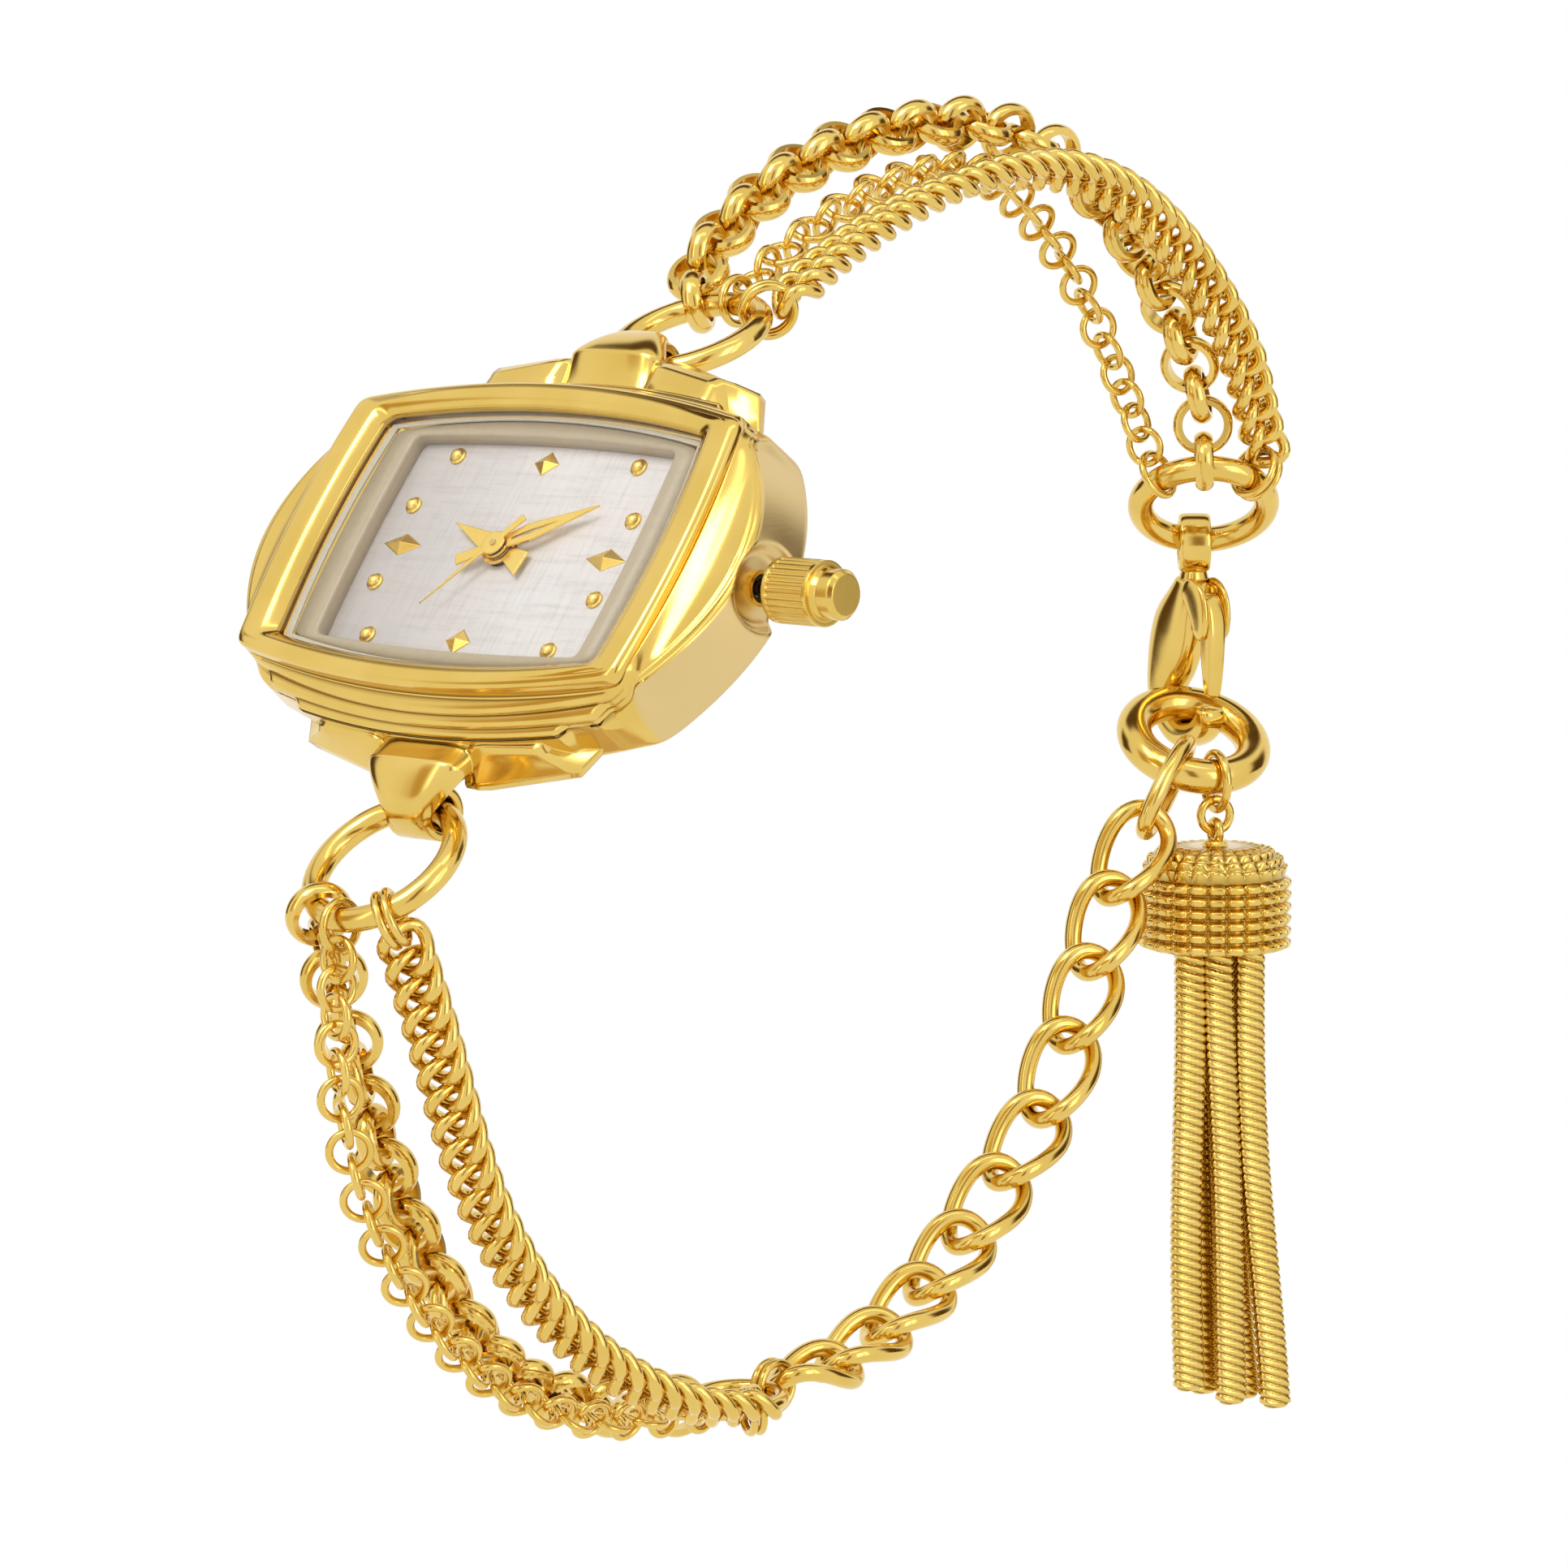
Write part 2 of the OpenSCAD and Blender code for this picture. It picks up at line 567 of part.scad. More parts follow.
module main_plate() color(brass) in_case() difference() {
    union() {
        translate([0, 0, plate_base]) bowed(move_hx, move_hy, 0.25, 0.25, plate_h);
        translate([minute_x, 0, plate_base + plate_h - weld])
            cylinder(h = 0.5 + weld, r = post_r);
        translate([setting_x, 0, plate_base + plate_h - weld])
            cylinder(h = 0.28 + weld, r = post_r);
        translate([step_at.x, step_at.y, step_n]) cylinder(h = plate_base - step_n + weld, r = 0.12);
        translate([rotor_at.x, rotor_at.y, step_n]) cylinder(h = plate_base - step_n + weld, r = 0.1);
    }
    translate([battery_at.x, battery_at.y, -1]) cylinder(h = 6, r = battery_r + 0.08);
    translate([0, 0, -1]) cylinder(h = 6, r = cannon_r + 0.12);
    translate([pinion_x - 0.1, -0.85, -1]) cube([pinion_len + 0.2, 1.7, 6]);
    translate([4.5, 0, crown_n]) rotate([0, 90, 0]) cylinder(h = 5, r = stem_r + 0.03);
    translate([-4.6, -5.2, plate_base - 0.1]) cube([6, 1.35, 0.5]);
    translate([1.6, 3.35, plate_base - 0.1]) cube([4.2, 1.35, 0.75]);
}

module battery() color(steel) in_case() translate([battery_at.x, battery_at.y, 0.97]) {
    cylinder(h = battery_h - 0.2, r = battery_r);
    translate([0, 0, battery_h - 0.2 - 0.001])
        cylinder(h = 0.2, r1 = battery_r - 0.25, r2 = battery_r - 0.35);
}

module battery_contact() color(brass) in_case() translate([0, 0, work_n + 0.01]) linear_extrude(0.1)
    polygon([[-6.3, 0.2], [-6.3, 1.2], [-2.4, 3.4], [-2.4, 4.4], [-1.2, 4.4], [-1.2, 2.9],
        [-5.2, 0.2]]);

module circuit_board() color([0.1, 0.4, 0.2]) in_case() translate([0, 0, 1.08]) difference() {
    linear_extrude(0.2) polygon([[-0.9, 2.4], [7.6, 1.4], [8.0, 4.6], [-0.9, 4.7]]);
    translate([-0.2, 2.9, -1]) cylinder(h = 3, r = 0.25);
}

module quartz_can() color(steel) in_case() translate([2.0, 4.0, 1.31 + 0.42]) rotate([0, 90, 0])
    cylinder(h = 3.4, r = 0.42);

coil_y = -4.52;
module coil() color([0.75, 0.4, 0.2]) in_case() translate([-4.2, coil_y, 1.42]) rotate([0, 90, 0])
    difference() {
        cylinder(h = 4.6, r = 0.44);
        translate([0, 0, -1]) cylinder(h = 8, r = 0.24);
    }

module stator() color(steel) in_case() translate([0, 0, 1.33]) linear_extrude(0.16) difference() {
    union() {
        translate([-4.5, coil_y - 0.14]) square([6.6, 0.28]);
        polygon([[1.1, coil_y - 0.2], [3.4, coil_y - 0.2], [3.6, rotor_at.y], [1.6, rotor_at.y]]);
        translate(rotor_at) circle(0.98);
    }
    translate(rotor_at) circle(0.66);
}

module rotor() color(steel) in_case() translate([rotor_at.x, rotor_at.y, step_n]) difference() {
    union() {
        rotate(12) gear(rotor_teeth, step_m, 0.14);
        translate([0, 0, 0.14 - 0.01]) cylinder(h = 0.34, r = 0.5);
    }
    translate([0, 0, -1]) cylinder(h = 4, r = 0.1 + run_gap);
}

module step_wheel() color(brass) in_case() translate([step_at.x, step_at.y, step_n]) difference() {
    union() {
        rotate(2) gear(step_teeth, step_m, 0.12);
        translate([0, 0, 0.1]) rotate(-4.5) gear(step_pinion_teeth, train_m, 0.32);
    }
    translate([0, 0, -1]) cylinder(h = 4, r = 0.12 + run_gap);
}

module seconds_wheel() color(brass) in_case() {
    translate([0, 0, train_n]) gear(seconds_teeth, train_m, 0.12);
    translate([0, 0, 1.02]) cylinder(h = second_hand_n - 1.02 - 0.05, r = second_arbor_r - 0.04);
    translate([0, 0, second_hand_n - 0.06]) cylinder(h = 0.2, r = second_arbor_r);
}

module cannon_pinion() color(brass) in_case() difference() {
    union() {
        translate([0, 0, work_n]) rotate(18) gear(cannon_teeth, gear_m, gear_h);
        translate([0, 0, plate_base + 0.1]) cylinder(h = minute_hand_n - plate_base - 0.1 - 0.02,
            r = cannon_r - 0.05);
        translate([0, 0, minute_hand_n - 0.03]) cylinder(h = hand_h + 0.05, r = cannon_r);
    }
    translate([0, 0, -1]) cylinder(h = 8, r = second_arbor_r + run_gap);
}

module minute_wheel() color(brass) in_case() translate([minute_x, 0, work_n]) difference() {
    union() {
        gear(minute_teeth, gear_m, gear_h);
        translate([0, 0, gear_h - 0.01]) gear(minute_pinion_teeth, gear_m, 0.28);
    }
    translate([0, 0, -1]) cylinder(h = 4, r = post_r + run_gap);
}

module hour_wheel() color(brass) in_case() difference() {
    union() {
        translate([0, 0, work_n + gear_h + 0.06]) rotate(5.625) gear(hour_teeth, gear_m, 0.16);
        translate([0, 0, work_n + gear_h + 0.06]) cylinder(h = hour_hand_n - work_n - gear_h - 0.06
            + hand_h + 0.03, r = hour_pipe_r);
    }
    translate([0, 0, -1]) cylinder(h = 8, r = cannon_r + run_gap);
}

module setting_wheel() color(brass) in_case() translate([setting_x, 0, work_n]) difference() {
    gear(setting_teeth, gear_m, gear_h);
    translate([0, 0, -1]) cylinder(h = 4, r = post_r + run_gap);
}

module sliding_pinion() color(steel) in_case() translate([pinion_x, 0, crown_n]) rotate([0, 90, 0])
    difference() {
        gear(slide_teeth, gear_m, pinion_len);
        translate([0, 0, -1]) cylinder(h = 4, r = stem_r + 0.03);
    }

crown_in_x = seat_floor_x + crown_rest_gap + crown_travel;
crown_end_x = crown_in_x + crown_flute_len;
stem_tip_x = pinion_x - 0.1;

module winding_stem() color(steel) in_case() translate([0, 0, crown_n]) rotate([0, 90, 0]) {
    translate([0, 0, stem_tip_x]) cylinder(h = crown_in_x + 1 - stem_tip_x, r = stem_r);
}

module crown() color(gold) in_case() translate([crown_in_x, 0, crown_n]) rotate([0, 90, 0]) difference() {
    union() {
        difference() {
            cylinder(h = crown_flute_len, r = crown_r);
            for (i = [0:flute_count - 1]) rotate(i * 360 / flute_count)
                translate([crown_r + 0.03, 0, 0.22]) cylinder(h = crown_flute_len - 0.44, r = 0.12, $fn = 16);
        }
        translate([0, 0, crown_flute_len - 0.01]) cylinder(h = 0.3, r1 = crown_cap_r + 0.1, r2 = crown_cap_r);
        translate([0, 0, crown_flute_len + 0.28]) cylinder(h = crown_cap_len - 0.48, r = crown_cap_r);
        translate([0, 0, crown_flute_len + crown_cap_len - 0.21])
            cylinder(h = 0.21, r1 = crown_cap_r, r2 = crown_cap_r - 0.2);
    }
    translate([0, 0, -1]) cylinder(h = 2, r = stem_r);
    translate([0, 0, -0.01]) cylinder(h = 0.5, r1 = 0.95, r2 = 0.8);
}

// O-ring on the stem, sliding with it in the crown tube's wide mouth
module crown_gasket() color(rubber) in_case() translate([seat_floor_x + 0.05, 0, crown_n]) rotate([0, 90, 0])
    torus(stem_r + 0.16, 0.13);

module crown_tube() color(steel) in_case() translate([cavity_hx - 0.35, 0, crown_n]) rotate([0, 90, 0])
    difference() {
        cylinder(h = tube_end_x - cavity_hx + 0.35, r = tube_r);
        translate([0, 0, -1]) cylinder(h = 10, r = stem_r + run_gap);
        translate([0, 0, tube_end_x - cavity_hx + 0.35 - 0.5 - crown_travel])
            cylinder(h = 2 + crown_travel, r = stem_r + 0.31);
    }

/* Bracelet geometry */
// Axes of the two lug bores
lug_12 = case_point(0, lug_y, lug_n);
lug_6 = case_point(0, -lug_y, lug_n);
// Half of the ring wire's rise over the barrel's half length
bore_sag = (lug_ring_r - sqrt(lug_ring_r * lug_ring_r - barrel_half * barrel_half)) / 2;
lug_bore_r = lug_wire + bore_sag + 0.1;
// Directions in which the lug rings leave their bores, as angles above +Y
ring_12_rise = 24;
ring_6_rise = 219;
function in_loop(a) = [0, cos(a), sin(a)];
ring_12_at = lug_12 + in_loop(ring_12_rise) * (lug_ring_r - bore_sag);
ring_6_at = lug_6 + in_loop(ring_6_rise) * (lug_ring_r - bore_sag);

// A ring's frame: centre, sideways direction, downward direction, mean radius
ring_12 = [ring_12_at, X, -in_loop(ring_12_rise), lug_ring_r];
ring_6 = [ring_6_at, X, -in_loop(ring_6_rise), lug_ring_r];
far_yaw = 41;
far_lean = 51;
far_at = [-1.2, 52.97, 0.9];
far_down = -unit(level(far_yaw - 90) * sin(far_lean) + Z * cos(far_lean));
far = [far_at, level(far_yaw), far_down, far_ring_r];
end_yaw = 60;
end_lean = 59;
end_down = unit(level(end_yaw - 90) * sin(end_lean) - Z * cos(end_lean));

// Point on a ring's wire at an angle from its lowest point, and the wire's direction there
function on_ring(r, a) = r[0] + r[3] * (r[1] * sin(a) + r[2] * cos(a));
function along_ring(r, a) = r[1] * cos(a) - r[2] * sin(a);

clasp_turn = -5;
clasp_loop_r = far_wire + 0.27;
clasp_at = on_ring(far, clasp_turn) - Z * (clasp_loop_r - far_wire - 0.1);
clasp_neck_z = -2.0;
clasp_eye_z = clasp_neck_z - clasp_len + 2.4;
hook_bearing_z = clasp_eye_z - 0.62;
end_top_turn = 165;
end_at = clasp_at + Z * hook_bearing_z - level(clasp_yaw) * 0.35
    - end_ring_r * (level(end_yaw) * sin(end_top_turn) + end_down * cos(end_top_turn));
end = [end_at, level(end_yaw), end_down, end_ring_r];

ext_turn = -38;
tassel_turn = 2;
ext_start = on_ring(end, ext_turn);
tassel_start = on_ring(end, tassel_turn);
// Middle hinge of the extension: the corner opposite the lugs in a parallelogram
ext_bend = ext_start - (lug_12 - lug_6) + [-ext_start.x, 0, 0];
joint_at = [0, 13.6, -41];
joint_dir = in_loop(4);
joint = [joint_at, X, joint_dir, joint_ring_r];

/* Chain paths */
path_steps = 8;
// Smooth curve that starts at the first point, ends at the last and runs near the others
function smooth(p) = let(n = len(p), q = [2 * p[0] - p[1], each p, 2 * p[n - 1] - p[n - 2]])
    [for (i = [0:n - 2], j = [0:path_steps - 1]) let(t = j / path_steps)
        (pow(1 - t, 3) * q[i] + (3 * t * t * t - 6 * t * t + 4) * q[i + 1]
        + (3 * t * t - 3 * t * t * t + 3 * t + 1) * q[i + 2] + t * t * t * q[i + 3]) / 6, p[n - 1]];
function lengths(c) = [for (i = 0, s = 0; i < len(c);
    s = s + (i + 1 < len(c) ? norm(c[i + 1] - c[i]) : 0), i = i + 1) s];
function path_length(c) = lengths(c)[len(c) - 1];
// One table for each direction of length against place
function path_tables(c) = let(s = lengths(c)) [for (a = [0:2]) [for (i = [0:len(c) - 1]) [s[i], c[i][a]]]];
function place(tables, s) = [lookup(s, tables[0]), lookup(s, tables[1]), lookup(s, tables[2])];
// Frames of n + 1 links spread evenly on a curve; the side direction turns from l0 to l1
function link_frames(c, n, l0, l1, roll = 0) = let(tables = path_tables(c), total = path_length(c))
    [for (k = [0:n]) let(s = k * total / n, d = unit(place(tables, min(total, s + 0.5))
        - place(tables, max(0, s - 0.5))), l = square_to(l0 * (n - k) / n + l1 * k / n, d),
        m = cross(d, l), a = roll * min(1, k / 8, (n - k) / 8))
        [place(tables, s), d, l * cos(a) + m * sin(a)]];

// The end of a chain at a ring: ring, turn from the ring's top, wire radius, leaving direction,
// length of the curve's handle
function wire_at(e) = on_ring(e[0], 180 + e[1]);
function wire_dir(e) = along_ring(e[0], 180 + e[1]);
function pull(e) = square_to(e[3], wire_dir(e));
// Small ring that ties a link of wire radius w to the ring
function tie_radius(e, w) = e[2] + w + tie_wire + 0.14;
function tie_centre(e, w) = wire_at(e)
    + pull(e) * (tie_radius(e, w) - tie_wire - e[2] - link_gap);
function first_link(e, a, w) = tie_centre(e, w) + pull(e) * tie_radius(e, w)
    + e[3] * (a - w - tie_wire - link_gap - 0.08);
// A belcher chain needs no tie: its first link goes round the ring
function belcher_hold(e) = wire_at(e) + pull(e) * (belcher_r - belcher_th - e[2] - 0.05);
function belcher_first(e) = belcher_hold(e) + pull(e) * (e[2] + 1.25);
function belcher_curve(s, e, way) = smooth([belcher_first(s), belcher_first(s) + pull(s), each way,
    belcher_first(e) + pull(e), belcher_first(e)]);
// Curve between two ends through a row of points
function curve(s, e, p0, p3, way) = smooth([p0, p0 + s[3] * s[4], each way, p3 + e[3] * e[4], p3]);

belcher_a = belcher_r - belcher_th / 2;
// Belcher links bear on the edges of their wide bands
belcher_pitch = 2 * sqrt(pow(belcher_r - belcher_th, 2) - pow(belcher_w / 2, 2)) - 0.24;
// Links hang a little slack, so that the chain can bend
chain_slack = 0.1;
function taut(a, w) = 2 * (a - w) - link_gap - chain_slack;
// How far a wire of radius r lies from the middle of an oval link that hangs on it
function seat(a, b, w, r) = sqrt((pow(a - w, 2) - pow(b - w, 2)) * (1 - pow(r / (b - w), 2)));
function even_count(len, pitch) = 2 * ceil(len / pitch / 2);

// Ends of the three chains on the 12 o'clock side
belcher_12_s = [ring_12, 32, lug_wire, unit([0.05, 0.75, 0.65]), 1.5];
belcher_12_e = [far, 3, far_wire, unit([-0.2, -0.1, 1]), 2];
cable_12_s = [ring_12, 0, lug_wire, unit([-0.1, 0.8, 0.5]), 1.5];
cable_12_e = [far, 46, far_wire, unit([-0.3, -0.2, 1]), 2];
curb_12_s = [ring_12, -42, lug_wire, unit([-0.15, 0.85, 0.5]), 1.5];
curb_12_e = [far, -48, far_wire, unit([0, -0.5, 1]), 2];
// Ends of the three chains on the 6 o'clock side
belcher_6_s = [ring_6, 34, lug_wire, unit([0, 0.35, -1]), 2];
belcher_6_e = [joint, 36, joint_wire, unit([-0.1, -1, -0.03]), 2];
cable_6_s = [ring_6, 0, lug_wire, unit([0, -0.1, -1]), 2];
cable_6_e = [joint, 0, joint_wire, unit([0, -1, 0.1]), 2];
curb_6_s = [ring_6, -40, lug_wire, unit([0, 0.4, -1]), 2];
curb_6_e = [joint, -60, joint_wire, unit([-0.12, -1, 0.1]), 2];

// Points that the chains pass near
belcher_12_way = [[-4, 20, 18.2], [-4, 26, 20.4], [-3.4, 32.3, 21.6], [-2.4, 38, 21.1],
    [-1.4, 42.6, 18.9], [-1, 46.4, 15.2], [-0.3, 49.2, 11.2]];
cable_12_way = [[-0.7, 20.5, 16.6], [-0.9, 25.5, 18.4], [-1.4, 31.3, 19.4], [-2.7, 37, 18.7],
    [-4.1, 42, 16.3], [-4.6, 45.6, 13.8], [-4.5, 48, 10.4]];
curb_12_way = [[2.6, 19.5, 15.9], [2.4, 24.5, 17.7], [2.5, 29.8, 19], [2.5, 35.5, 19.3],
    [2.5, 41, 18], [2.5, 45.6, 15.2], [2.5, 49, 12], [2.5, 51.6, 8.8]];
belcher_6_way = [[-2.7, -10.6, -19.2], [-2.6, -9.4, -22.9], [-2.5, -8.1, -26.6], [-2.4, -6.3, -30.3],
    [-2.4, -3.7, -33.9], [-3.2, 0, -37.4], [-4.4, 4.8, -40.1]];
cable_6_way = [[0, -13.7, -19.5], [-0.1, -13.3, -23.3], [-0.1, -12, -27.3], [-0.1, -9.7, -31.3],
    [-0.1, -6.3, -35.2], [-0.1, -1.8, -38.5], [-0.1, 3.6, -40.4]];
curb_6_way = [[2.6, -10.3, -18.8], [2.5, -8.9, -22.5], [2.4, -7.5, -26.2], [2.4, -5.5, -29.9],
    [2.4, -2.7, -33.4], [2.5, 1, -36.6], [2.8, 5.4, -39.1]];

belcher_12_curve = belcher_curve(belcher_12_s, belcher_12_e, belcher_12_way);
cable_12_curve = curve(cable_12_s, cable_12_e, first_link(cable_12_s, cable_r, cable_wire),
    first_link(cable_12_e, cable_r, cable_wire), cable_12_way);
curb_12_curve = curve(curb_12_s, curb_12_e, first_link(curb_12_s, curb_a - 0.07, curb_wire),
    first_link(curb_12_e, curb_a - 0.07, curb_wire), curb_12_way);
belcher_6_curve = belcher_curve(belcher_6_s, belcher_6_e, belcher_6_way);
cable_6_curve = curve(cable_6_s, cable_6_e, first_link(cable_6_s, cable_r, cable_wire),
    first_link(cable_6_e, cable_r, cable_wire), cable_6_way);
curb_6_curve = curve(curb_6_s, curb_6_e, first_link(curb_6_s, curb_a - 0.07, curb_wire),
    first_link(curb_6_e, curb_a - 0.07, curb_wire), curb_6_way);

// A ring whose plane holds the pulling direction and crosses the wire squarely
module tie_ring(e, w, along = 0) {
    in_frame(tie_centre(e, w) + along * wire_dir(e), pull(e), wire_dir(e)) rotate([0, 90, 0])
        torus(tie_radius(e, w), tie_wire, 32);
}
module double_tie(e, w) for (s = [-1, 1]) tie_ring(e, w, s * (tie_wire + 0.03));

/* Links: z along the chain, x across it */
module belcher_link() rotate([90, 0, 0]) rotate_extrude($fn = 32) intersection() {
    translate([belcher_r - belcher_th, -belcher_w / 2]) square([belcher_th, belcher_w]);
    translate([belcher_r - belcher_w * 0.62, 0]) circle(belcher_w * 0.62, $fn = 24);
}

module cable_link() rotate([90, 0, 0]) torus(cable_r, cable_wire, 24);

// Closed twisted loop of wire: half length a, half width b, twist c out of the plane
module curb_link(a, b, c, wire, rings, sides) {
    function centre(t) = [b * sin(t), c * sin(2 * t), a * cos(t)];
    function heading(t) = unit([b * cos(t), 2 * c * cos(2 * t), -a * sin(t)]);
    function outward(t) = unit(cross([0, 1, 0], heading(t)));
    points = [for (i = [0:rings - 1], j = [0:sides - 1]) let(t = 360 * i / rings,
        q = 360 * j / sides + 45, o = outward(t), u = cross(heading(t), o))
        centre(t) + wire * (o * cos(q) + u * sin(q))];
    faces = [for (i = [0:rings - 1], j = [0:sides - 1]) let(i2 = (i + 1) % rings, j2 = (j + 1) % sides)
        each [[i * sides + j, i2 * sides + j, i * sides + j2],
            [i * sides + j2, i2 * sides + j, i2 * sides + j2]]];
    polyhedron(points, faces);
}

// Chains of the two halves
module crossed_chain(curve, pitch, side_0, side_1, roll) {
    n = even_count(path_length(curve), pitch);
    frames = link_frames(curve, n, side_0, side_1, roll);
    for (k = [0:n]) in_frame(frames[k][0], frames[k][1], frames[k][2]) rotate([0, 0, 90 * (k % 2)])
        children();
}

module flat_chain(curve, pitch, side_0, side_1) {
    n = ceil(path_length(curve) / pitch);
    frames = link_frames(curve, n, side_0, side_1, 0);
    for (k = [0:n]) in_frame(frames[k][0], frames[k][1], frames[k][2]) children();
}

curb_twist = curb_wire + 0.16;
module curb_unit() curb_link(curb_a, curb_b, curb_twist, curb_wire, 10, 4);

module belcher_chain(s, e, path) {
    for (q = [s, e]) in_frame(belcher_hold(q), pull(q), cross(pull(q), wire_dir(q))) belcher_link();
    crossed_chain(path, belcher_pitch, -wire_dir(s), -wire_dir(e), 41) belcher_link();
}
module cable_chain(s, e, path) crossed_chain(path, taut(cable_r, cable_wire),
    square_to(-wire_dir(s), s[3]), square_to(-wire_dir(e), e[3]), 45) cable_link();
module curb_chain(s, e, path) flat_chain(path, taut(curb_a, curb_wire),
    square_to(-wire_dir(s), s[3]), square_to(-wire_dir(e), e[3])) curb_unit();

module belcher_chain_12() color(gold) belcher_chain(belcher_12_s, belcher_12_e, belcher_12_curve);
module cable_chain_12() color(gold) cable_chain(cable_12_s, cable_12_e, cable_12_curve);
module curb_chain_12() color(gold) curb_chain(curb_12_s, curb_12_e, curb_12_curve);
module belcher_chain_6() color(gold) belcher_chain(belcher_6_s, belcher_6_e, belcher_6_curve);
module cable_chain_6() color(gold) cable_chain(cable_6_s, cable_6_e, cable_6_curve);
module curb_chain_6() color(gold) curb_chain(curb_6_s, curb_6_e, curb_6_curve);

module tie_rings_12() color(gold) {
    tie_ring(cable_12_s, cable_wire);
    tie_ring(cable_12_e, cable_wire);
    double_tie(curb_12_s, curb_wire);
    double_tie(curb_12_e, curb_wire);
}

module tie_rings_6() color(gold) {
    tie_ring(cable_6_s, cable_wire);
    tie_ring(cable_6_e, cable_wire);
    double_tie(curb_6_s, curb_wire);
    double_tie(curb_6_e, curb_wire);
    double_tie(ext_end, ext_wire);
}

module ring(r, wire) in_frame(r[0], cross(r[1], r[2]), r[1]) torus(r[3], wire, 64);
module lug_ring_12() color(gold) ring(ring_12, lug_wire);
module lug_ring_6() color(gold) ring(ring_6, lug_wire);
module far_ring() color(gold) ring(far, far_wire);
module end_ring() color(gold) ring(end, end_wire);
module joining_ring() color(gold) ring(joint, joint_wire);

/* Extension chain */
ext_twist = ext_wire + 0.16;
ext_leave = unit([-0.05, -0.62, -0.78]);
ext_side = square_to(along_ring(end, ext_turn), ext_leave);
ext_yaw = 26;
ext_bend_dir = in_loop(-139);
ext_pitch = taut(ext_a, ext_wire) - 0.06;
// The first link is plain and goes round the end ring; the others are twisted
first_at = ext_start + ext_leave * seat(ext_a, ext_b, ext_wire, end_wire + link_gap);
second_at = first_at + ext_leave * (2 * ext_a - 2 * ext_wire - link_gap - 0.2);
ext_end = [joint, 180, joint_wire, unit([0, 1, 0.06]), 7];
ext_last_at = first_link(ext_end, ext_a - 0.2, ext_wire);
upper_curve = smooth([second_at, second_at + ext_leave * 1.5, [-0.85, 44.3, -20.6], [-0.4, 41.8, -24.3],
    [0, 39.2, -28.2], ext_bend - ext_bend_dir * (ext_pitch / 2 + 1.5),
    ext_bend - ext_bend_dir * ext_pitch / 2]);
lower_curve = smooth([ext_bend + ext_bend_dir * ext_pitch / 2,
    ext_bend + ext_bend_dir * (ext_pitch / 2 + 1.5), [0, 28.4, -37.9], [0, 24.2, -39.8],
    ext_last_at + ext_end[3] * 1.5, ext_last_at]);

module ext_unit() curb_link(ext_a, ext_b, ext_twist, ext_wire, 16, 6);

module extension_upper() color(gold) {
    in_frame(first_at, ext_leave, cross(ext_leave, ext_side)) curb_link(ext_a, ext_b, 0.02, ext_wire, 16, 6);
    flat_chain(upper_curve, ext_pitch, level(ext_yaw), level(30)) ext_unit();
}

module extension_lower() color(gold) flat_chain(lower_curve, ext_pitch, level(30), X) ext_unit();

/* Clasp */
clasp_r = bow_r(clasp_w / 2, clasp_len / 2);
pivot_x = 0.95;
pivot_z = clasp_neck_z - 1.35;
pivot_r = 0.28;
lever_tip_z = clasp_eye_z - 0.35;

module in_clasp() translate(clasp_at) rotate([0, 0, clasp_yaw]) children();

module clasp_outline() intersection() {
    translate([clasp_r - clasp_w / 2, 0]) circle(clasp_r, $fn = 180);
    translate([clasp_w / 2 - clasp_r, 0]) circle(clasp_r, $fn = 180);
}

module clasp_form() in_clasp() {
    rotate([0, 0, far_yaw - clasp_yaw]) rotate([0, 90, 0]) difference() {
        cylinder(h = 1.4, r = clasp_loop_r + 0.5, center = true);
        cylinder(h = 3, r = clasp_loop_r, center = true);
    }
    translate([0, 0, clasp_neck_z - 0.5]) cylinder(h = -clasp_neck_z + 0.5 - clasp_loop_r - 0.2, r = 0.62);
    difference() {
        translate([0, 0, clasp_neck_z - clasp_len / 2]) rotate([90, 0, 0])
            linear_extrude(clasp_th, center = true) clasp_outline();
        translate([0, 0, clasp_eye_z]) rotate([90, 0, 0]) cylinder(h = 5, r = clasp_eye_r, center = true);
        translate([0.1, -3, clasp_eye_z + 0.2]) cube([4, 6, pivot_z - clasp_eye_z - 1.0]);
        translate([-0.5, -lever_w / 2 - 0.06, clasp_eye_z])
            cube([4, lever_w + 0.12, pivot_z - clasp_eye_z + 0.75]);
        translate([pivot_x, 0, pivot_z]) rotate([90, 0, 0]) cylinder(h = 5, r = pivot_r, center = true);
    }
}

// The hook is relieved where the thick ring bears on it
module clasp_body() color(gold) difference() {
    clasp_form();
    ring(end, end_wire + 0.05);
}

module clasp_lever() color(gold) in_clasp() difference() {
    translate([0, lever_w / 2, 0]) rotate([90, 0, 0]) linear_extrude(lever_w)
        polygon([[pivot_x - 0.52, pivot_z + 0.12], [pivot_x - 0.4, pivot_z + 0.4],
            [pivot_x - 0.15, pivot_z + 0.56], [pivot_x + 0.15, pivot_z + 0.58],
            [pivot_x + 0.45, pivot_z + 0.42], [pivot_x + 1.15, pivot_z - 0.3],
            [pivot_x + 1.05, pivot_z - 1.2], [1.95, lever_tip_z + 1.0], [1.62, lever_tip_z + 0.42],
            [1.0, lever_tip_z + 0.62], [0.75, pivot_z - 1.2], [pivot_x - 0.5, pivot_z - 0.2]]);
    translate([pivot_x, 0, pivot_z]) rotate([90, 0, 0])
        cylinder(h = 5, r = pivot_r + run_gap, center = true);
}

module clasp_pin() color(gold) in_clasp() translate([pivot_x, 0, pivot_z]) rotate([90, 0, 0])
    cylinder(h = clasp_th - 0.1, r = pivot_r, center = true);

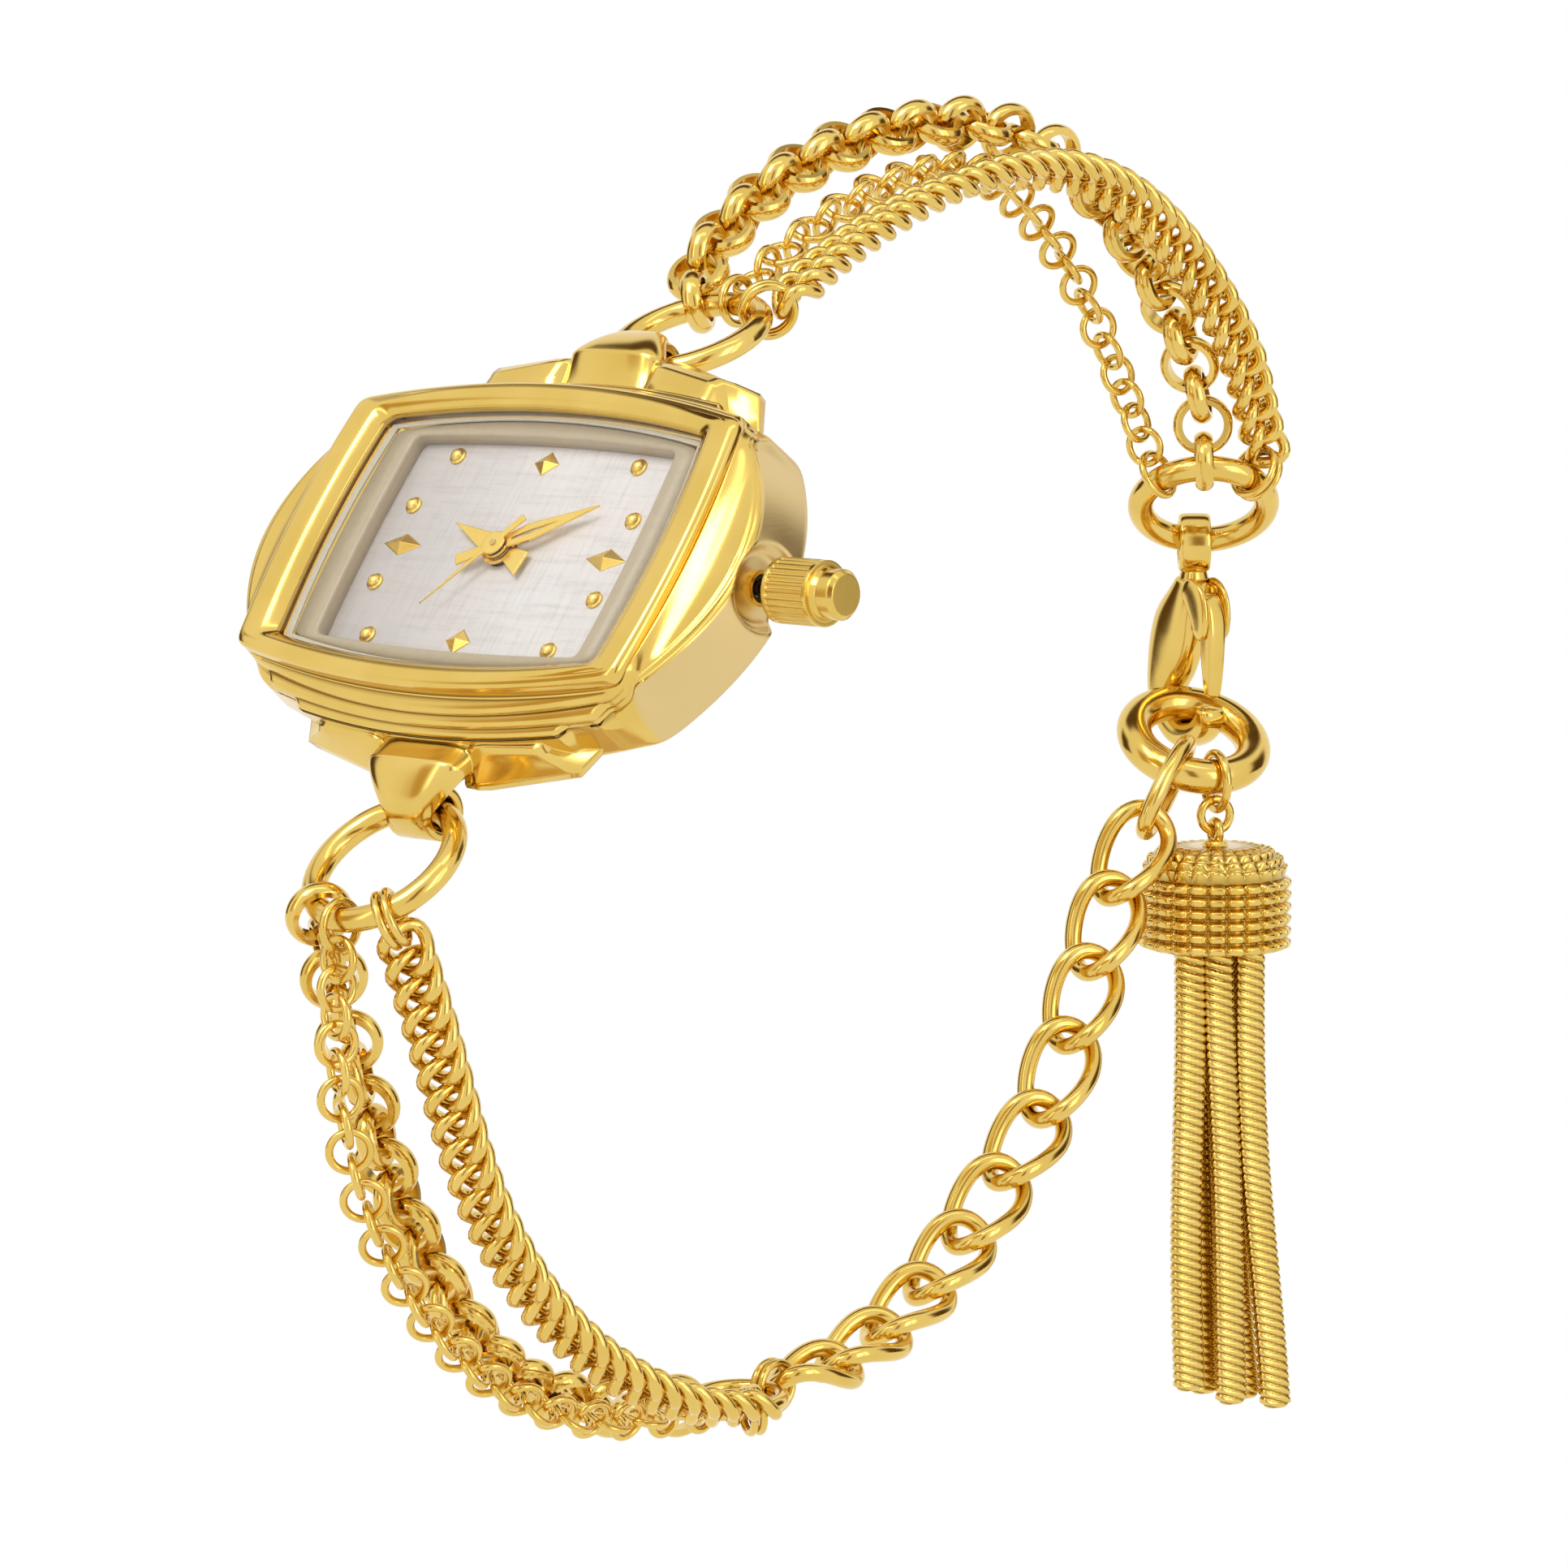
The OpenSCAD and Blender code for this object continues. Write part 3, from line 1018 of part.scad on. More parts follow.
module clasp_spring() color(steel) in_clasp() translate([-0.38, -lever_w / 2 + 0.1, pivot_z - 1.5])
    cube([0.14, lever_w - 0.2, 1.6]);

/* Tassel */
small_wire = 0.24;
upper_r = end_wire + 2 * small_wire + 0.06;
upper_at = tassel_start - Z * (upper_r - small_wire - end_wire - 0.05);
lower_r = 0.85;
lower_at = upper_at - Z * (upper_r + lower_r - 2 * small_wire - 0.04);
eye_r = 0.55;
eye_at = lower_at - Z * (lower_r + eye_r - 2 * small_wire - 0.04);
cap_top = -eye_r - 0.12;
wall = 0.45;
tassel_axis = along_ring(end, tassel_turn);
tassel_side = level(end_yaw);

module tassel_ring_upper() color(gold) in_frame(upper_at, Z, square_to(tassel_axis, Z))
    rotate([0, 90, 0]) torus(upper_r, small_wire, 32);
module tassel_ring_lower() color(gold) in_frame(lower_at, Z, square_to(tassel_axis, Z))
    rotate([90, 0, 0]) torus(lower_r, small_wire, 32);

module in_tassel() in_frame(eye_at, Z, square_to(tassel_axis, Z)) children();

row_h = skirt_h / bar_rows;
module tassel_cap() color(gold) in_tassel() {
    rotate([0, 90, 0]) torus(eye_r, small_wire, 32);
    translate([0, 0, cap_top - dome_h - skirt_h]) {
        rotate_extrude($fn = 72) polygon(concat([[0, skirt_h + dome_h + 0.2], [0.7, skirt_h + dome_h + 0.2],
            [1.2, skirt_h + dome_h - 0.1], [2.3, skirt_h + dome_h * 0.72], [3.3, skirt_h + dome_h * 0.36],
            [cap_r - 0.35, skirt_h], [cap_r - 0.35, 0], [cap_r - 0.35 - wall, 0],
            [cap_r - 0.35 - wall, skirt_h - 0.2]],
            [[2.9, skirt_h + dome_h * 0.3 - 0.2], [0, skirt_h + dome_h * 0.62]]));
        difference() {
            for (i = [0:bar_rows - 1]) translate([0, 0, i * row_h + row_h * 0.16]) difference() {
                cylinder(h = row_h * 0.68, r = cap_r, $fn = 72);
                translate([0, 0, -1]) cylinder(h = 3, r = cap_r - 0.35 - weld, $fn = 72);
            }
            for (i = [0:bar_count - 1]) rotate(i * 360 / bar_count)
                translate([cap_r - 0.22, -0.17, -0.5]) cube([1, 0.34, skirt_h + 1]);
        }
    }
}

strand_places = [[-2.1, -0.62], [-1.05, 0.62], [0.05, -0.62], [1.1, 0.62], [2.1, -0.62]];
strand_cut = [1.6, 0.9, 0, 0.5, 0.2];
core_h = 1.2;
core_z = cap_top - dome_h - 0.9;

module tassel_core() color(brass) in_tassel() translate([0, 0, core_z - core_h])
    difference() {
        union() {
            cylinder(h = core_h, r = cap_r - 0.35 - wall - 0.05);
            cylinder(h = core_h + 1.55, r = 0.5);
        }
        for (p = strand_places) translate([p.x - strand_w / 2 - 0.03, p.y - strand_th / 2 - 0.03, -1])
            cube([strand_w + 0.06, strand_th + 0.06, 1.8]);
    }

tooth = 0.53;
module strand(len) {
    n = floor(len / tooth);
    rotate([90, 0, 0]) linear_extrude(strand_th, center = true) polygon(concat(
        [for (i = [0:n - 1], p = [[strand_w / 2 - 0.12, 0], [strand_w / 2, -tooth * 0.75]])
            [p[0], -i * tooth + p[1]]],
        [for (i = [n - 1:-1:0], p = [[-strand_w / 2, -tooth], [-strand_w / 2 + 0.12, -tooth * 0.25]])
            [p[0], -i * tooth + p[1]]]));
}

strand_top = core_z - core_h + 0.75;
module tassel_strands() color(gold) in_tassel() for (i = [0:len(strand_places) - 1])
    translate([strand_places[i].x, strand_places[i].y, strand_top])
        strand(strand_len + skirt_h - 1.2 - strand_cut[i]);

case_middle();
bezel();
crystal();
crystal_gasket();
inner_ring();
dial();
hour_diamonds();
hour_dots();
case_back();
case_back_gasket();
movement_holder();
main_plate();
battery();
battery_contact();
circuit_board();
quartz_can();
coil();
stator();
rotor();
step_wheel();
seconds_wheel();
second_hand();
cannon_pinion();
minute_hand();
minute_wheel();
hour_wheel();
hour_hand();
setting_wheel();
sliding_pinion();
winding_stem();
crown();
crown_gasket();
crown_tube();
lug_ring_12();
lug_ring_6();
tie_rings_12();
belcher_chain_12();
cable_chain_12();
curb_chain_12();
far_ring();
clasp_body();
clasp_lever();
clasp_pin();
clasp_spring();
end_ring();
extension_upper();
extension_lower();
joining_ring();
tie_rings_6();
belcher_chain_6();
cable_chain_6();
curb_chain_6();
tassel_ring_upper();
tassel_ring_lower();
tassel_cap();
tassel_core();
tassel_strands();
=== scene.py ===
"""Looks of a small dress watch on a three-strand chain bracelet with a tassel.

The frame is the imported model's: metres, Z up, X to 3 o'clock, and a dial that faces -Y and leans
back. Case, clasp and tassel are drawn in millimetres in frames of their own. Chain links are set on
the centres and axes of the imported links.
"""
import json
import math

import bpy
import numpy as np
from mathutils import Matrix, Vector

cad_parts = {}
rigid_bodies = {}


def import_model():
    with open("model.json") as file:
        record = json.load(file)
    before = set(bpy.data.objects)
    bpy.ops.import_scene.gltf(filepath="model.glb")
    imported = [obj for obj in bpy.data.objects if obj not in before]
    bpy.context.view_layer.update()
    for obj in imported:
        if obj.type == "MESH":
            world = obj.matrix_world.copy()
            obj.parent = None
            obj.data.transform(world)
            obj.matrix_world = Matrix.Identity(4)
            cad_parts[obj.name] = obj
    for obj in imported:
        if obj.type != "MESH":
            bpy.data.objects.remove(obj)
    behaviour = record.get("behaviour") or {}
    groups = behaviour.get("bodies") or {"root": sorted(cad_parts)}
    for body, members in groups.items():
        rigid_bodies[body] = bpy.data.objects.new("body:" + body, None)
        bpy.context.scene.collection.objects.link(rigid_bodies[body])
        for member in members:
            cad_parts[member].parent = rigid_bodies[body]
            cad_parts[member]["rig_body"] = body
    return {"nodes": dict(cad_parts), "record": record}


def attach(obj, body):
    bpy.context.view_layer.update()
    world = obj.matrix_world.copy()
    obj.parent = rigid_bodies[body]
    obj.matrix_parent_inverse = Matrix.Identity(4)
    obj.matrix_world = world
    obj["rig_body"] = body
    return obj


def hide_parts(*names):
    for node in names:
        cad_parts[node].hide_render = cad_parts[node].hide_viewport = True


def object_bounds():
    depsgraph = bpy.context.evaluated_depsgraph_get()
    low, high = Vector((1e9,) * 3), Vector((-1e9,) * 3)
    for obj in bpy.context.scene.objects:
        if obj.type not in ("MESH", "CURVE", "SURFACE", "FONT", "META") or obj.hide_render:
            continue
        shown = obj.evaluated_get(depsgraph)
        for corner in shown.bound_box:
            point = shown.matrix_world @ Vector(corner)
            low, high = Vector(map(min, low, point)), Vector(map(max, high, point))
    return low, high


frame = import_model()
CAD_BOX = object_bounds()
NODES = frame["nodes"]
ROWS = {row["node"]: row for row in frame["record"]["subparts"]}
MM = 0.001

# the case's own frame: EAST to 3 o'clock, TWELVE to 12 o'clock, FACE out of the dial
TILT = math.radians(37.5)
EAST = np.array([1.0, 0.0, 0.0])
TWELVE = np.array([0.0, math.sin(TILT), math.cos(TILT)])
FACE = np.array([0.0, -math.cos(TILT), math.sin(TILT)])
DIAL_TURN = math.radians(-52.5)     # turns a pattern's coordinates flat on the dial

# the tassel's and the clasp's own frames, origins in millimetres
UPRIGHT = np.array([0.0, 0.0, 1.0])
TASSEL_EYE = np.array([0.925852, 51.4479, -16.4689])
TASSEL_X = np.array([0.473865, 0.880597, 0.0])
TASSEL_Y = np.array([-0.880597, 0.473865, 0.0])
CLASP_AT = np.array([-3.13907, 54.7516, -1.38901])
CLASP_X = np.array([math.cos(math.radians(-14)), math.sin(math.radians(-14)), 0.0])
CLASP_Y = np.array([-CLASP_X[1], CLASP_X[0], 0.0])

# the camera, and the pixel at which the picture shows the bezel's centre
AZIMUTH, ELEVATION = math.radians(41.0), math.radians(7.2)
RIGHT = np.array([math.cos(AZIMUTH), math.sin(AZIMUTH), 0.0])
BACK = np.array([math.sin(AZIMUTH) * math.cos(ELEVATION), -math.cos(AZIMUTH) * math.cos(ELEVATION),
                 math.sin(ELEVATION)])
UP = np.cross(BACK, RIGHT)
PIXELS, PIXELS_PER_MM = 1932.0, 26.7
BEZEL_COLUMN, BEZEL_ROW, BEZEL_HIGH = 598.0, 659.0, 4.7
DISTANCE, SENSOR = 0.267, 36.0


def placed(name, data):
    """Object with this data, linked to the scene."""
    obj = bpy.data.objects.new(name, data)
    bpy.context.scene.collection.objects.link(obj)
    return obj


def place_camera():
    """Camera that shows the bezel's centre at its photographed pixel."""
    left = (PIXELS / 2 - BEZEL_COLUMN) / PIXELS_PER_MM * MM
    above = (PIXELS / 2 - BEZEL_ROW) / PIXELS_PER_MM * MM
    eye = FACE * BEZEL_HIGH * MM + RIGHT * left - UP * above + BACK * DISTANCE
    data = bpy.data.cameras.new("camera")
    data.sensor_width = SENSOR
    data.lens = SENSOR * DISTANCE / (PIXELS / PIXELS_PER_MM * MM)
    data.clip_start, data.clip_end = 0.01, 20.0
    camera = placed("camera", data)
    turn = Matrix((RIGHT, UP, BACK)).transposed().to_4x4()
    camera.matrix_world = Matrix.Translation(Vector(eye)) @ turn
    bpy.context.scene.camera = camera


# shader maths
class Tap:
    """A shader socket that takes part in Python arithmetic by adding Math nodes."""

    def __init__(self, socket, graph):
        self.socket, self.graph = socket, graph

    def _math(self, operation, *values):
        return self.graph.node("ShaderNodeMath", dict(operation=operation), *values)[0]

    def __add__(self, other): return self._math("ADD", self, other)
    def __radd__(self, other): return self._math("ADD", other, self)
    def __sub__(self, other): return self._math("SUBTRACT", self, other)
    def __rsub__(self, other): return self._math("SUBTRACT", other, self)
    def __mul__(self, other): return self._math("MULTIPLY", self, other)
    def __rmul__(self, other): return self._math("MULTIPLY", other, self)
    def most(self, other): return self._math("MAXIMUM", self, other)
    def clamp(self): return self._math("MINIMUM", self.most(0.0), 1.0)


class Graph:
    """The nodes of a new material, or of the world that is given."""

    def __init__(self, name, world=None):
        self.owner = world or bpy.data.materials.new(name)
        self.owner.use_nodes = True
        self.tree = self.owner.node_tree
        self.shader = self.tree.nodes["Background" if world else "Principled BSDF"]

    def plug(self, socket, value):
        """Links a Tap to a socket or sets the socket's value. A colour of three gets its alpha."""
        if isinstance(value, Tap):
            self.tree.links.new(value.socket, socket)
        elif socket.type == "RGBA":
            socket.default_value = (*value[:3], 1.0)
        else:
            socket.default_value = value

    def node(self, kind, settings, *values, **named):
        """Adds a node: its settings first, then its inputs in order or by name. Returns its outputs."""
        made = self.tree.nodes.new(kind)
        for key, value in settings.items():
            setattr(made, key, value)
        for key, value in list(enumerate(values)) + list(named.items()):
            if value is not None:
                self.plug(made.inputs[key.replace("_", " ") if isinstance(key, str) else key], value)
        return [Tap(out, self) for out in made.outputs]

    def coords(self, scale=(1.0, 1.0, 1.0), turn=(0.0, 0.0, 0.0)):
        """Object coordinates, turned and scaled."""
        here = self.node("ShaderNodeTexCoord", {})[3]
        return self.node("ShaderNodeMapping", {}, here, (0, 0, 0), turn, scale)[0]

    def noise(self, vector, scale, detail=3.0, rough=0.5):
        """Noise of 0 to 1. The scale counts its cells to a metre."""
        return self.node("ShaderNodeTexNoise", {}, Vector=vector, Scale=scale, Detail=detail,
                         Roughness=rough)[0]

    def ramp(self, value, stops):
        """Colour ramp from pairs of a position and an RGB triple."""
        made = self.tree.nodes.new("ShaderNodeValToRGB")
        elements = made.color_ramp.elements
        while len(elements) < len(stops):
            elements.new(0.5)
        for element, (position, colour) in zip(elements, stops):
            element.position, element.color = position, (*colour, 1.0)
        self.plug(made.inputs[0], value)
        return Tap(made.outputs[0], self)

    def mix(self, amount, one, two):
        """Mix of two colours, each a Tap or an RGB triple."""
        made = self.tree.nodes.new("ShaderNodeMix")
        made.data_type = "RGBA"
        for place, value in ((0, amount), (6, one), (7, two)):
            self.plug(made.inputs[place], value)
        return Tap(made.outputs[2], self)

    def soft_edges(self, radius):
        """Normal that rolls round sharp edges, as polishing leaves them."""
        return self.node("ShaderNodeBevel", dict(samples=6), radius)[0]

    def bump(self, height, distance, strength=1.0, normal=None):
        return self.node("ShaderNodeBump", {}, Strength=strength, Distance=distance, Height=height,
                         Normal=normal)[0]

    def feed(self, **sockets):
        """Fills the shader's inputs by name and returns the material."""
        for key, value in sockets.items():
            self.plug(self.shader.inputs[key.replace("_", " ")], value)
        return self.owner

    def feed_both(self, amount, one, two):
        """Sends a mix of two other shaders to the output and returns the material."""
        both = self.node("ShaderNodeMixShader", {}, amount, one, two)[0]
        self.plug(self.tree.nodes["Material Output"].inputs[0], both)
        return self.owner


# materials
# the third tone is painted shade: the deep brown laid into the bottom of grooves
GOLD_TONE, DEEP_TONE, GROOVE_SHADE_TONE = (0.85, 0.605, 0.175), (0.76, 0.52, 0.12), (0.20, 0.09, 0.012)


def drifting(g, noise, deep, tone):
    """Colour that drifts between two tones with a noise."""
    return g.mix(((noise - 0.35) * 2.2).clamp(), deep, tone)


def with_painted_groove_shade(g, tone):
    """Tone darkened by the attribute "hollow", which is 1 at the bottom of a groove: painted shade in the
    grooves.
    """
    hollow = g.node("ShaderNodeAttribute", dict(attribute_name="hollow"))[2]
    return g.mix(hollow.clamp(), tone, GROOVE_SHADE_TONE)


def polished_gold(name, tone=GOLD_TONE, deep=DEEP_TONE, rough=0.14, edge=0.0, groove_shaded=False):
    """Plated gold: its tone drifts over millimetres and a faint haze of handling dulls its gloss."""
    g = Graph(name)
    at = g.coords()
    colour = drifting(g, g.noise(at, 260.0, 2.0), deep, tone)
    haze = g.noise(at, 900.0, 4.0, 0.6)
    fine = g.noise(at, 9000.0, 2.0)
    # the flag adds painted shade at the bottom of the grooves
    return g.feed(Base_Color=with_painted_groove_shade(g, colour) if groove_shaded else colour, Metallic=1.0,
                  Roughness=rough + (haze - 0.4).most(0.0) * 0.10,
                  Normal=g.bump(fine, 0.000004, 0.2, g.soft_edges(edge) if edge else None))


def satin_gold(name):
    """Case gold: polished on the ridges and the lugs, finely brushed on the flanks below the rim, with
    painted shade at the ridges' feet.
    """
    g = Graph(name)
    turn = (DIAL_TURN, 0, 0)
    lines = g.noise(g.coords((900.0, 900.0, 16000.0), turn), 1.0, 3.0, 0.6)
    broad = g.noise(g.coords(), 240.0, 3.0)
    x, _, n = g.node("ShaderNodeSeparateXYZ", {}, g.coords((1, 1, 1), turn))
    flank_x, rim_n = 0.0120, 0.00358
    beside = ((x - flank_x) * 5000.0).clamp().most(((x + flank_x) * -5000.0).clamp())
    flank = beside * ((rim_n - n) * 9000.0).clamp()
    colour = g.mix(flank, drifting(g, broad, DEEP_TONE, GOLD_TONE),
                   g.mix(broad, (0.74, 0.55, 0.24), (0.80, 0.60, 0.27)))
    return g.feed(Base_Color=with_painted_groove_shade(g, colour), Metallic=1.0,
                  Roughness=flank * (lines * 0.1 + 0.10) + 0.16,
                  Normal=g.bump(lines * flank, 0.00001, 0.3, g.soft_edges(0.0001)))


def plain_metal(name, colour, rough):
    """Turned or stamped metal with a fine grain."""
    g = Graph(name)
    grain = g.noise(g.coords(), 4200.0, 3.0)
    return g.feed(Base_Color=g.mix(grain, tuple(c * 0.88 for c in colour), colour), Metallic=1.0,
                  Roughness=rough + grain * 0.1, Normal=g.bump(grain, 0.000008, 0.3))


def plain_stuff(name, colour, rough, spread=0.12):
    """Moulded plastic, rubber or board with a fine mottle."""
    g = Graph(name)
    mottle = g.noise(g.coords(), 2600.0, 4.0)
    return g.feed(Base_Color=g.mix(mottle, tuple(c * 0.8 for c in colour), colour), Metallic=0.0,
                  Roughness=rough + mottle * spread, Normal=g.bump(mottle, 0.00001, 0.4))


def pearl_shell(name):
    """Mother-of-pearl: warm pale cloud with painted shadow that greys it to the left, and two crossed sets
    of fine straight streaks.
    """
    g = Graph(name)
    flat = g.coords((1, 1, 1), (DIAL_TURN, 0, 0))
    x, y, _ = g.node("ShaderNodeSeparateXYZ", {}, flat)
    cloud = g.noise(flat, 170.0, 3.0)
    close, far = 5200.0, 260.0
    one = g.noise(g.coords((close, far, 300.0), (DIAL_TURN, 0, math.radians(7))), 1.0, 4.0, 0.7)
    two = g.noise(g.coords((far, close, 300.0), (DIAL_TURN, 0, math.radians(-5))), 1.0, 4.0, 0.7)
    dark = (((one - 0.5).most(0.0) + (two - 0.5).most(0.0)) * 4.0).clamp()
    pale = (((0.5 - one).most(0.0) + (0.5 - two).most(0.0)) * 3.0).clamp()
    # painted shadow of the surround's wall, darker to the left
    shade = (x * -70.0 + 0.15 - y * 15.0).clamp()
    tint = g.ramp(cloud, [(0.3, (0.89, 0.84, 0.83)), (0.46, (0.95, 0.89, 0.88)),
                          (0.56, (0.90, 0.87, 0.85)), (0.72, (0.96, 0.91, 0.89))])
    tint = g.mix(dark * 0.45, tint, (0.62, 0.55, 0.52))
    tint = g.mix(pale * 0.5, tint, (0.99, 0.96, 0.95))
    return g.feed(Base_Color=g.mix(shade * 0.8, tint, (0.42, 0.38, 0.34)), Metallic=0.0,
                  Roughness=0.28 + dark * 0.1, Coat_Weight=0.3, Coat_Roughness=0.12,
                  Normal=g.bump(dark, 0.00001, 0.15))


def clear_crystal(name):
    """Mineral crystal: see-through, with a mirror layer that grows at glancing angles."""
    g = Graph(name)
    edge = g.node("ShaderNodeLayerWeight", {}, 0.12)[0]
    clear = g.node("ShaderNodeBsdfTransparent", {}, (0.985, 0.985, 0.98))[0]
    gloss = g.node("ShaderNodeBsdfGlossy", {}, (1.0, 1.0, 1.0), 0.02)[0]
    return g.feed_both(edge * 0.25 + 0.015, clear, gloss)


GOLD = polished_gold("polished_gold")
# gold with painted shade in its grooves, for the tassel
GROOVE_SHADED_GOLD = polished_gold("polished_gold_groove_shaded", groove_shaded=True)
CUT_GOLD = polished_gold("polished_gold_cut", edge=0.0001)
# hands and studs: a yellower gold of their own, and partly painted light, brighter than the case to make up
# for the dulling behind the crystal
HAND_GOLD = polished_gold("hand_gold", (1.0, 0.74, 0.20), (0.95, 0.66, 0.15), 0.26, 0.00005)
MATERIALS = {
    "polished_gold": GOLD,
    "satin_gold": satin_gold("satin_gold"),
    "pale_gold": plain_stuff("pale_gold", (0.66, 0.55, 0.38), 0.30, 0.1),
    "crystal_glass": clear_crystal("crystal_glass"),
    "dial_shell": pearl_shell("dial_shell"),
    "black_rubber": plain_stuff("black_rubber", (0.03, 0.03, 0.03), 0.55),
    "white_plastic": plain_stuff("white_plastic", (0.80, 0.80, 0.76), 0.45),
    "green_board": plain_stuff("green_board", (0.03, 0.22, 0.10), 0.4),
    "copper_wire": plain_metal("copper_wire", (0.70, 0.34, 0.18), 0.3),
    "plain_brass": plain_metal("plain_brass", (0.74, 0.56, 0.26), 0.25),
    "bare_steel": plain_metal("bare_steel", (0.60, 0.61, 0.63), 0.25),
}
OWN_LOOK = {
    "crystal_gasket": plain_stuff("clear_nylon", (0.80, 0.74, 0.62), 0.3),
    "crown": CUT_GOLD, "winding_stem": GOLD, "crown_tube": GOLD, "hour_diamonds": HAND_GOLD,
    "hour_hand": HAND_GOLD, "minute_hand": HAND_GOLD, "second_hand": HAND_GOLD,
}
for node_name, node_object in NODES.items():
    look = OWN_LOOK.get(node_name, MATERIALS[ROWS[node_name]["material_slot"]])
    if node_object.material_slots:
        for material_slot in node_object.material_slots:
            material_slot.material = look
    else:
        node_object.data.materials.append(look)


# surfaces
def surface(name, points, faces, material, smooth=True):
    """Mesh object at the origin from an (n, 3) array of points and a list of faces."""
    mesh = bpy.data.meshes.new(name)
    mesh.from_pydata(np.asarray(points).tolist(), [], faces)
    mesh.polygons.foreach_set("use_smooth", np.full(len(mesh.polygons), smooth))
    mesh.update()
    mesh.materials.append(material)
    return placed(name, mesh)


def settle(obj, node):
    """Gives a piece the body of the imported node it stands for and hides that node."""
    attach(obj, NODES[node]["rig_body"])
    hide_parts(node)
    return obj


def paint_groove_shade(obj, values):
    """Stores how deep in a groove each point lies, 0 to 1, for the painted shade that darkens the gold
    there.
    """
    stored = obj.data.attributes.new("hollow", "FLOAT", "POINT")
    stored.data.foreach_set("value", np.asarray(values, dtype=float))
    return obj


def along_axes(origin, axes, x, y, z):
    """Points in metres from millimetres along three axes from an origin."""
    x, y, z = np.broadcast_arrays(x, y, z)
    at = origin + x[..., None] * axes[0] + y[..., None] * axes[1] + z[..., None] * axes[2]
    return at.reshape(-1, 3) * MM


def in_case(x, y, n):
    """Points in the case's frame: to 3 o'clock, to 12 o'clock and out of the dial."""
    return along_axes(0.0, (EAST, TWELVE, FACE), x, y, n)


def in_tassel(x, y, z):
    """Points in the tassel's frame, whose origin is the cap's eye."""
    return along_axes(TASSEL_EYE, (TASSEL_X, TASSEL_Y, UPRIGHT), x, y, z)


def in_clasp(x, y, z):
    """Points in the clasp's frame: across its plane's width, through it, and up."""
    return along_axes(CLASP_AT, (CLASP_X, CLASP_Y, UPRIGHT), x, y, z)


def full_turn(count):
    """Angles of a circle in even steps."""
    return np.arange(count) * 2 * math.pi / count


def column(*values):
    """Values as the single column of an array, one to a row."""
    return np.array(values)[:, None]


def boxy(wave, power):
    """Sine or cosine made squarer: its sign times its size to a power."""
    return np.sign(wave) * np.abs(wave) ** power


def hump(phase, sharp):
    """Rounded bar: 1 in the middle of each unit of phase, 0 at its ends."""
    return 1 - np.abs(2 * (phase - np.floor(phase)) - 1) ** sharp


def ease(t):
    """Slow start and slow end from 0 to 1: three t squared less two t cubed."""
    t = np.clip(t, 0, 1)
    return t * t * (3 - 2 * t)


def grid_faces(rows, cols, round_rows=False, round_cols=False, flip=False):
    """Quads of a rows by cols grid of points, optionally closed round in either direction."""
    i = np.arange(rows if round_rows else rows - 1)[:, None]
    j = np.arange(cols if round_cols else cols - 1)[None, :]
    a = (i * cols + j).ravel()
    b = (i * cols + (j + 1) % cols).ravel()
    c = (((i + 1) % rows) * cols + (j + 1) % cols).ravel()
    d = (((i + 1) % rows) * cols + j).ravel()
    return np.stack([a, d, c, b] if flip else [a, b, c, d], axis=1)


def outward(points, *groups):
    """List of a closed surface's faces, from arrays of quads or triangles, turned outwards.

    Six times the volume is the sum over all triangles of a . (b x c). A quad counts as two, and
    every face is reversed where the sum is negative.
    """
    volume = 0.0
    for group in groups:
        a, b, c = (points[group[:, k]] for k in range(3))
        volume += np.einsum("ij,ij->i", a, np.cross(b, c)).sum()
        if group.shape[1] == 4:
            volume += np.einsum("ij,ij->i", a, np.cross(c, points[group[:, 3]])).sum()
    faces = [face for group in groups for face in group.tolist()]
    return faces if volume > 0 else [face[::-1] for face in faces]


def fan(tip, rim, back=False):
    """Triangles from one point to every step round a rim."""
    return [[tip, b, a] if back else [tip, a, b] for a, b in zip(rim, np.roll(rim, -1))]


def capped_tube(rings, ends, around):
    """Tube closed by two fans, from its rings' points, so many to a ring, and its two end points."""
    points, rim = np.vstack([rings, ends]), np.arange(around)
    fans = fan(len(rings), rim, True) + fan(len(rings) + 1, rim + len(rings) - around)
    return points, outward(points, grid_faces(len(rings) // around, around, False, True), np.array(fans))


def joined(parts):
    """One array of points and one list of faces from several (points, faces) pairs."""
    points, faces, base = [], [], 0
    for part_points, part_faces in parts:
        points.append(np.asarray(part_points, dtype=float))
        faces += [[corner + base for corner in face] for face in part_faces]
        base += len(part_points)
    return np.concatenate(points), faces


# chain links
def islands(node):
    """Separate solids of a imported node: a list of (n, 3) arrays of their distinct points."""
    mesh = NODES[node].data
    points = np.empty(len(mesh.vertices) * 3)
    mesh.vertices.foreach_get("co", points)
    points = points.reshape(-1, 3)
    corners = np.empty(len(mesh.loops), dtype=np.int64)
    mesh.loops.foreach_get("vertex_index", corners)
    keys = np.round(points * 1e8).astype(np.int64)
    _, first, same = np.unique(keys, axis=0, return_index=True, return_inverse=True)
    tri = same.ravel()[corners].reshape(-1, 3)
    # every point takes the lowest label of its triangles, until nothing changes
    label = np.arange(len(first))
    while True:
        low = label[tri].min(axis=1)
        new = label.copy()
        for k in range(3):
            np.minimum.at(new, tri[:, k], low)
        new = new[new]
        if (new == label).all():
            break
        label = new
    return [points[first[label == root]] for root in np.unique(label)]


def link_axes(points):
    """Centre and right-handed axes of a link: long side, short side, and the way through it."""
    centre = points.mean(axis=0)
    _, _, axes = np.linalg.svd(points - centre, full_matrices=False)
    axes[2] = np.cross(axes[0], axes[1])
    return centre, axes


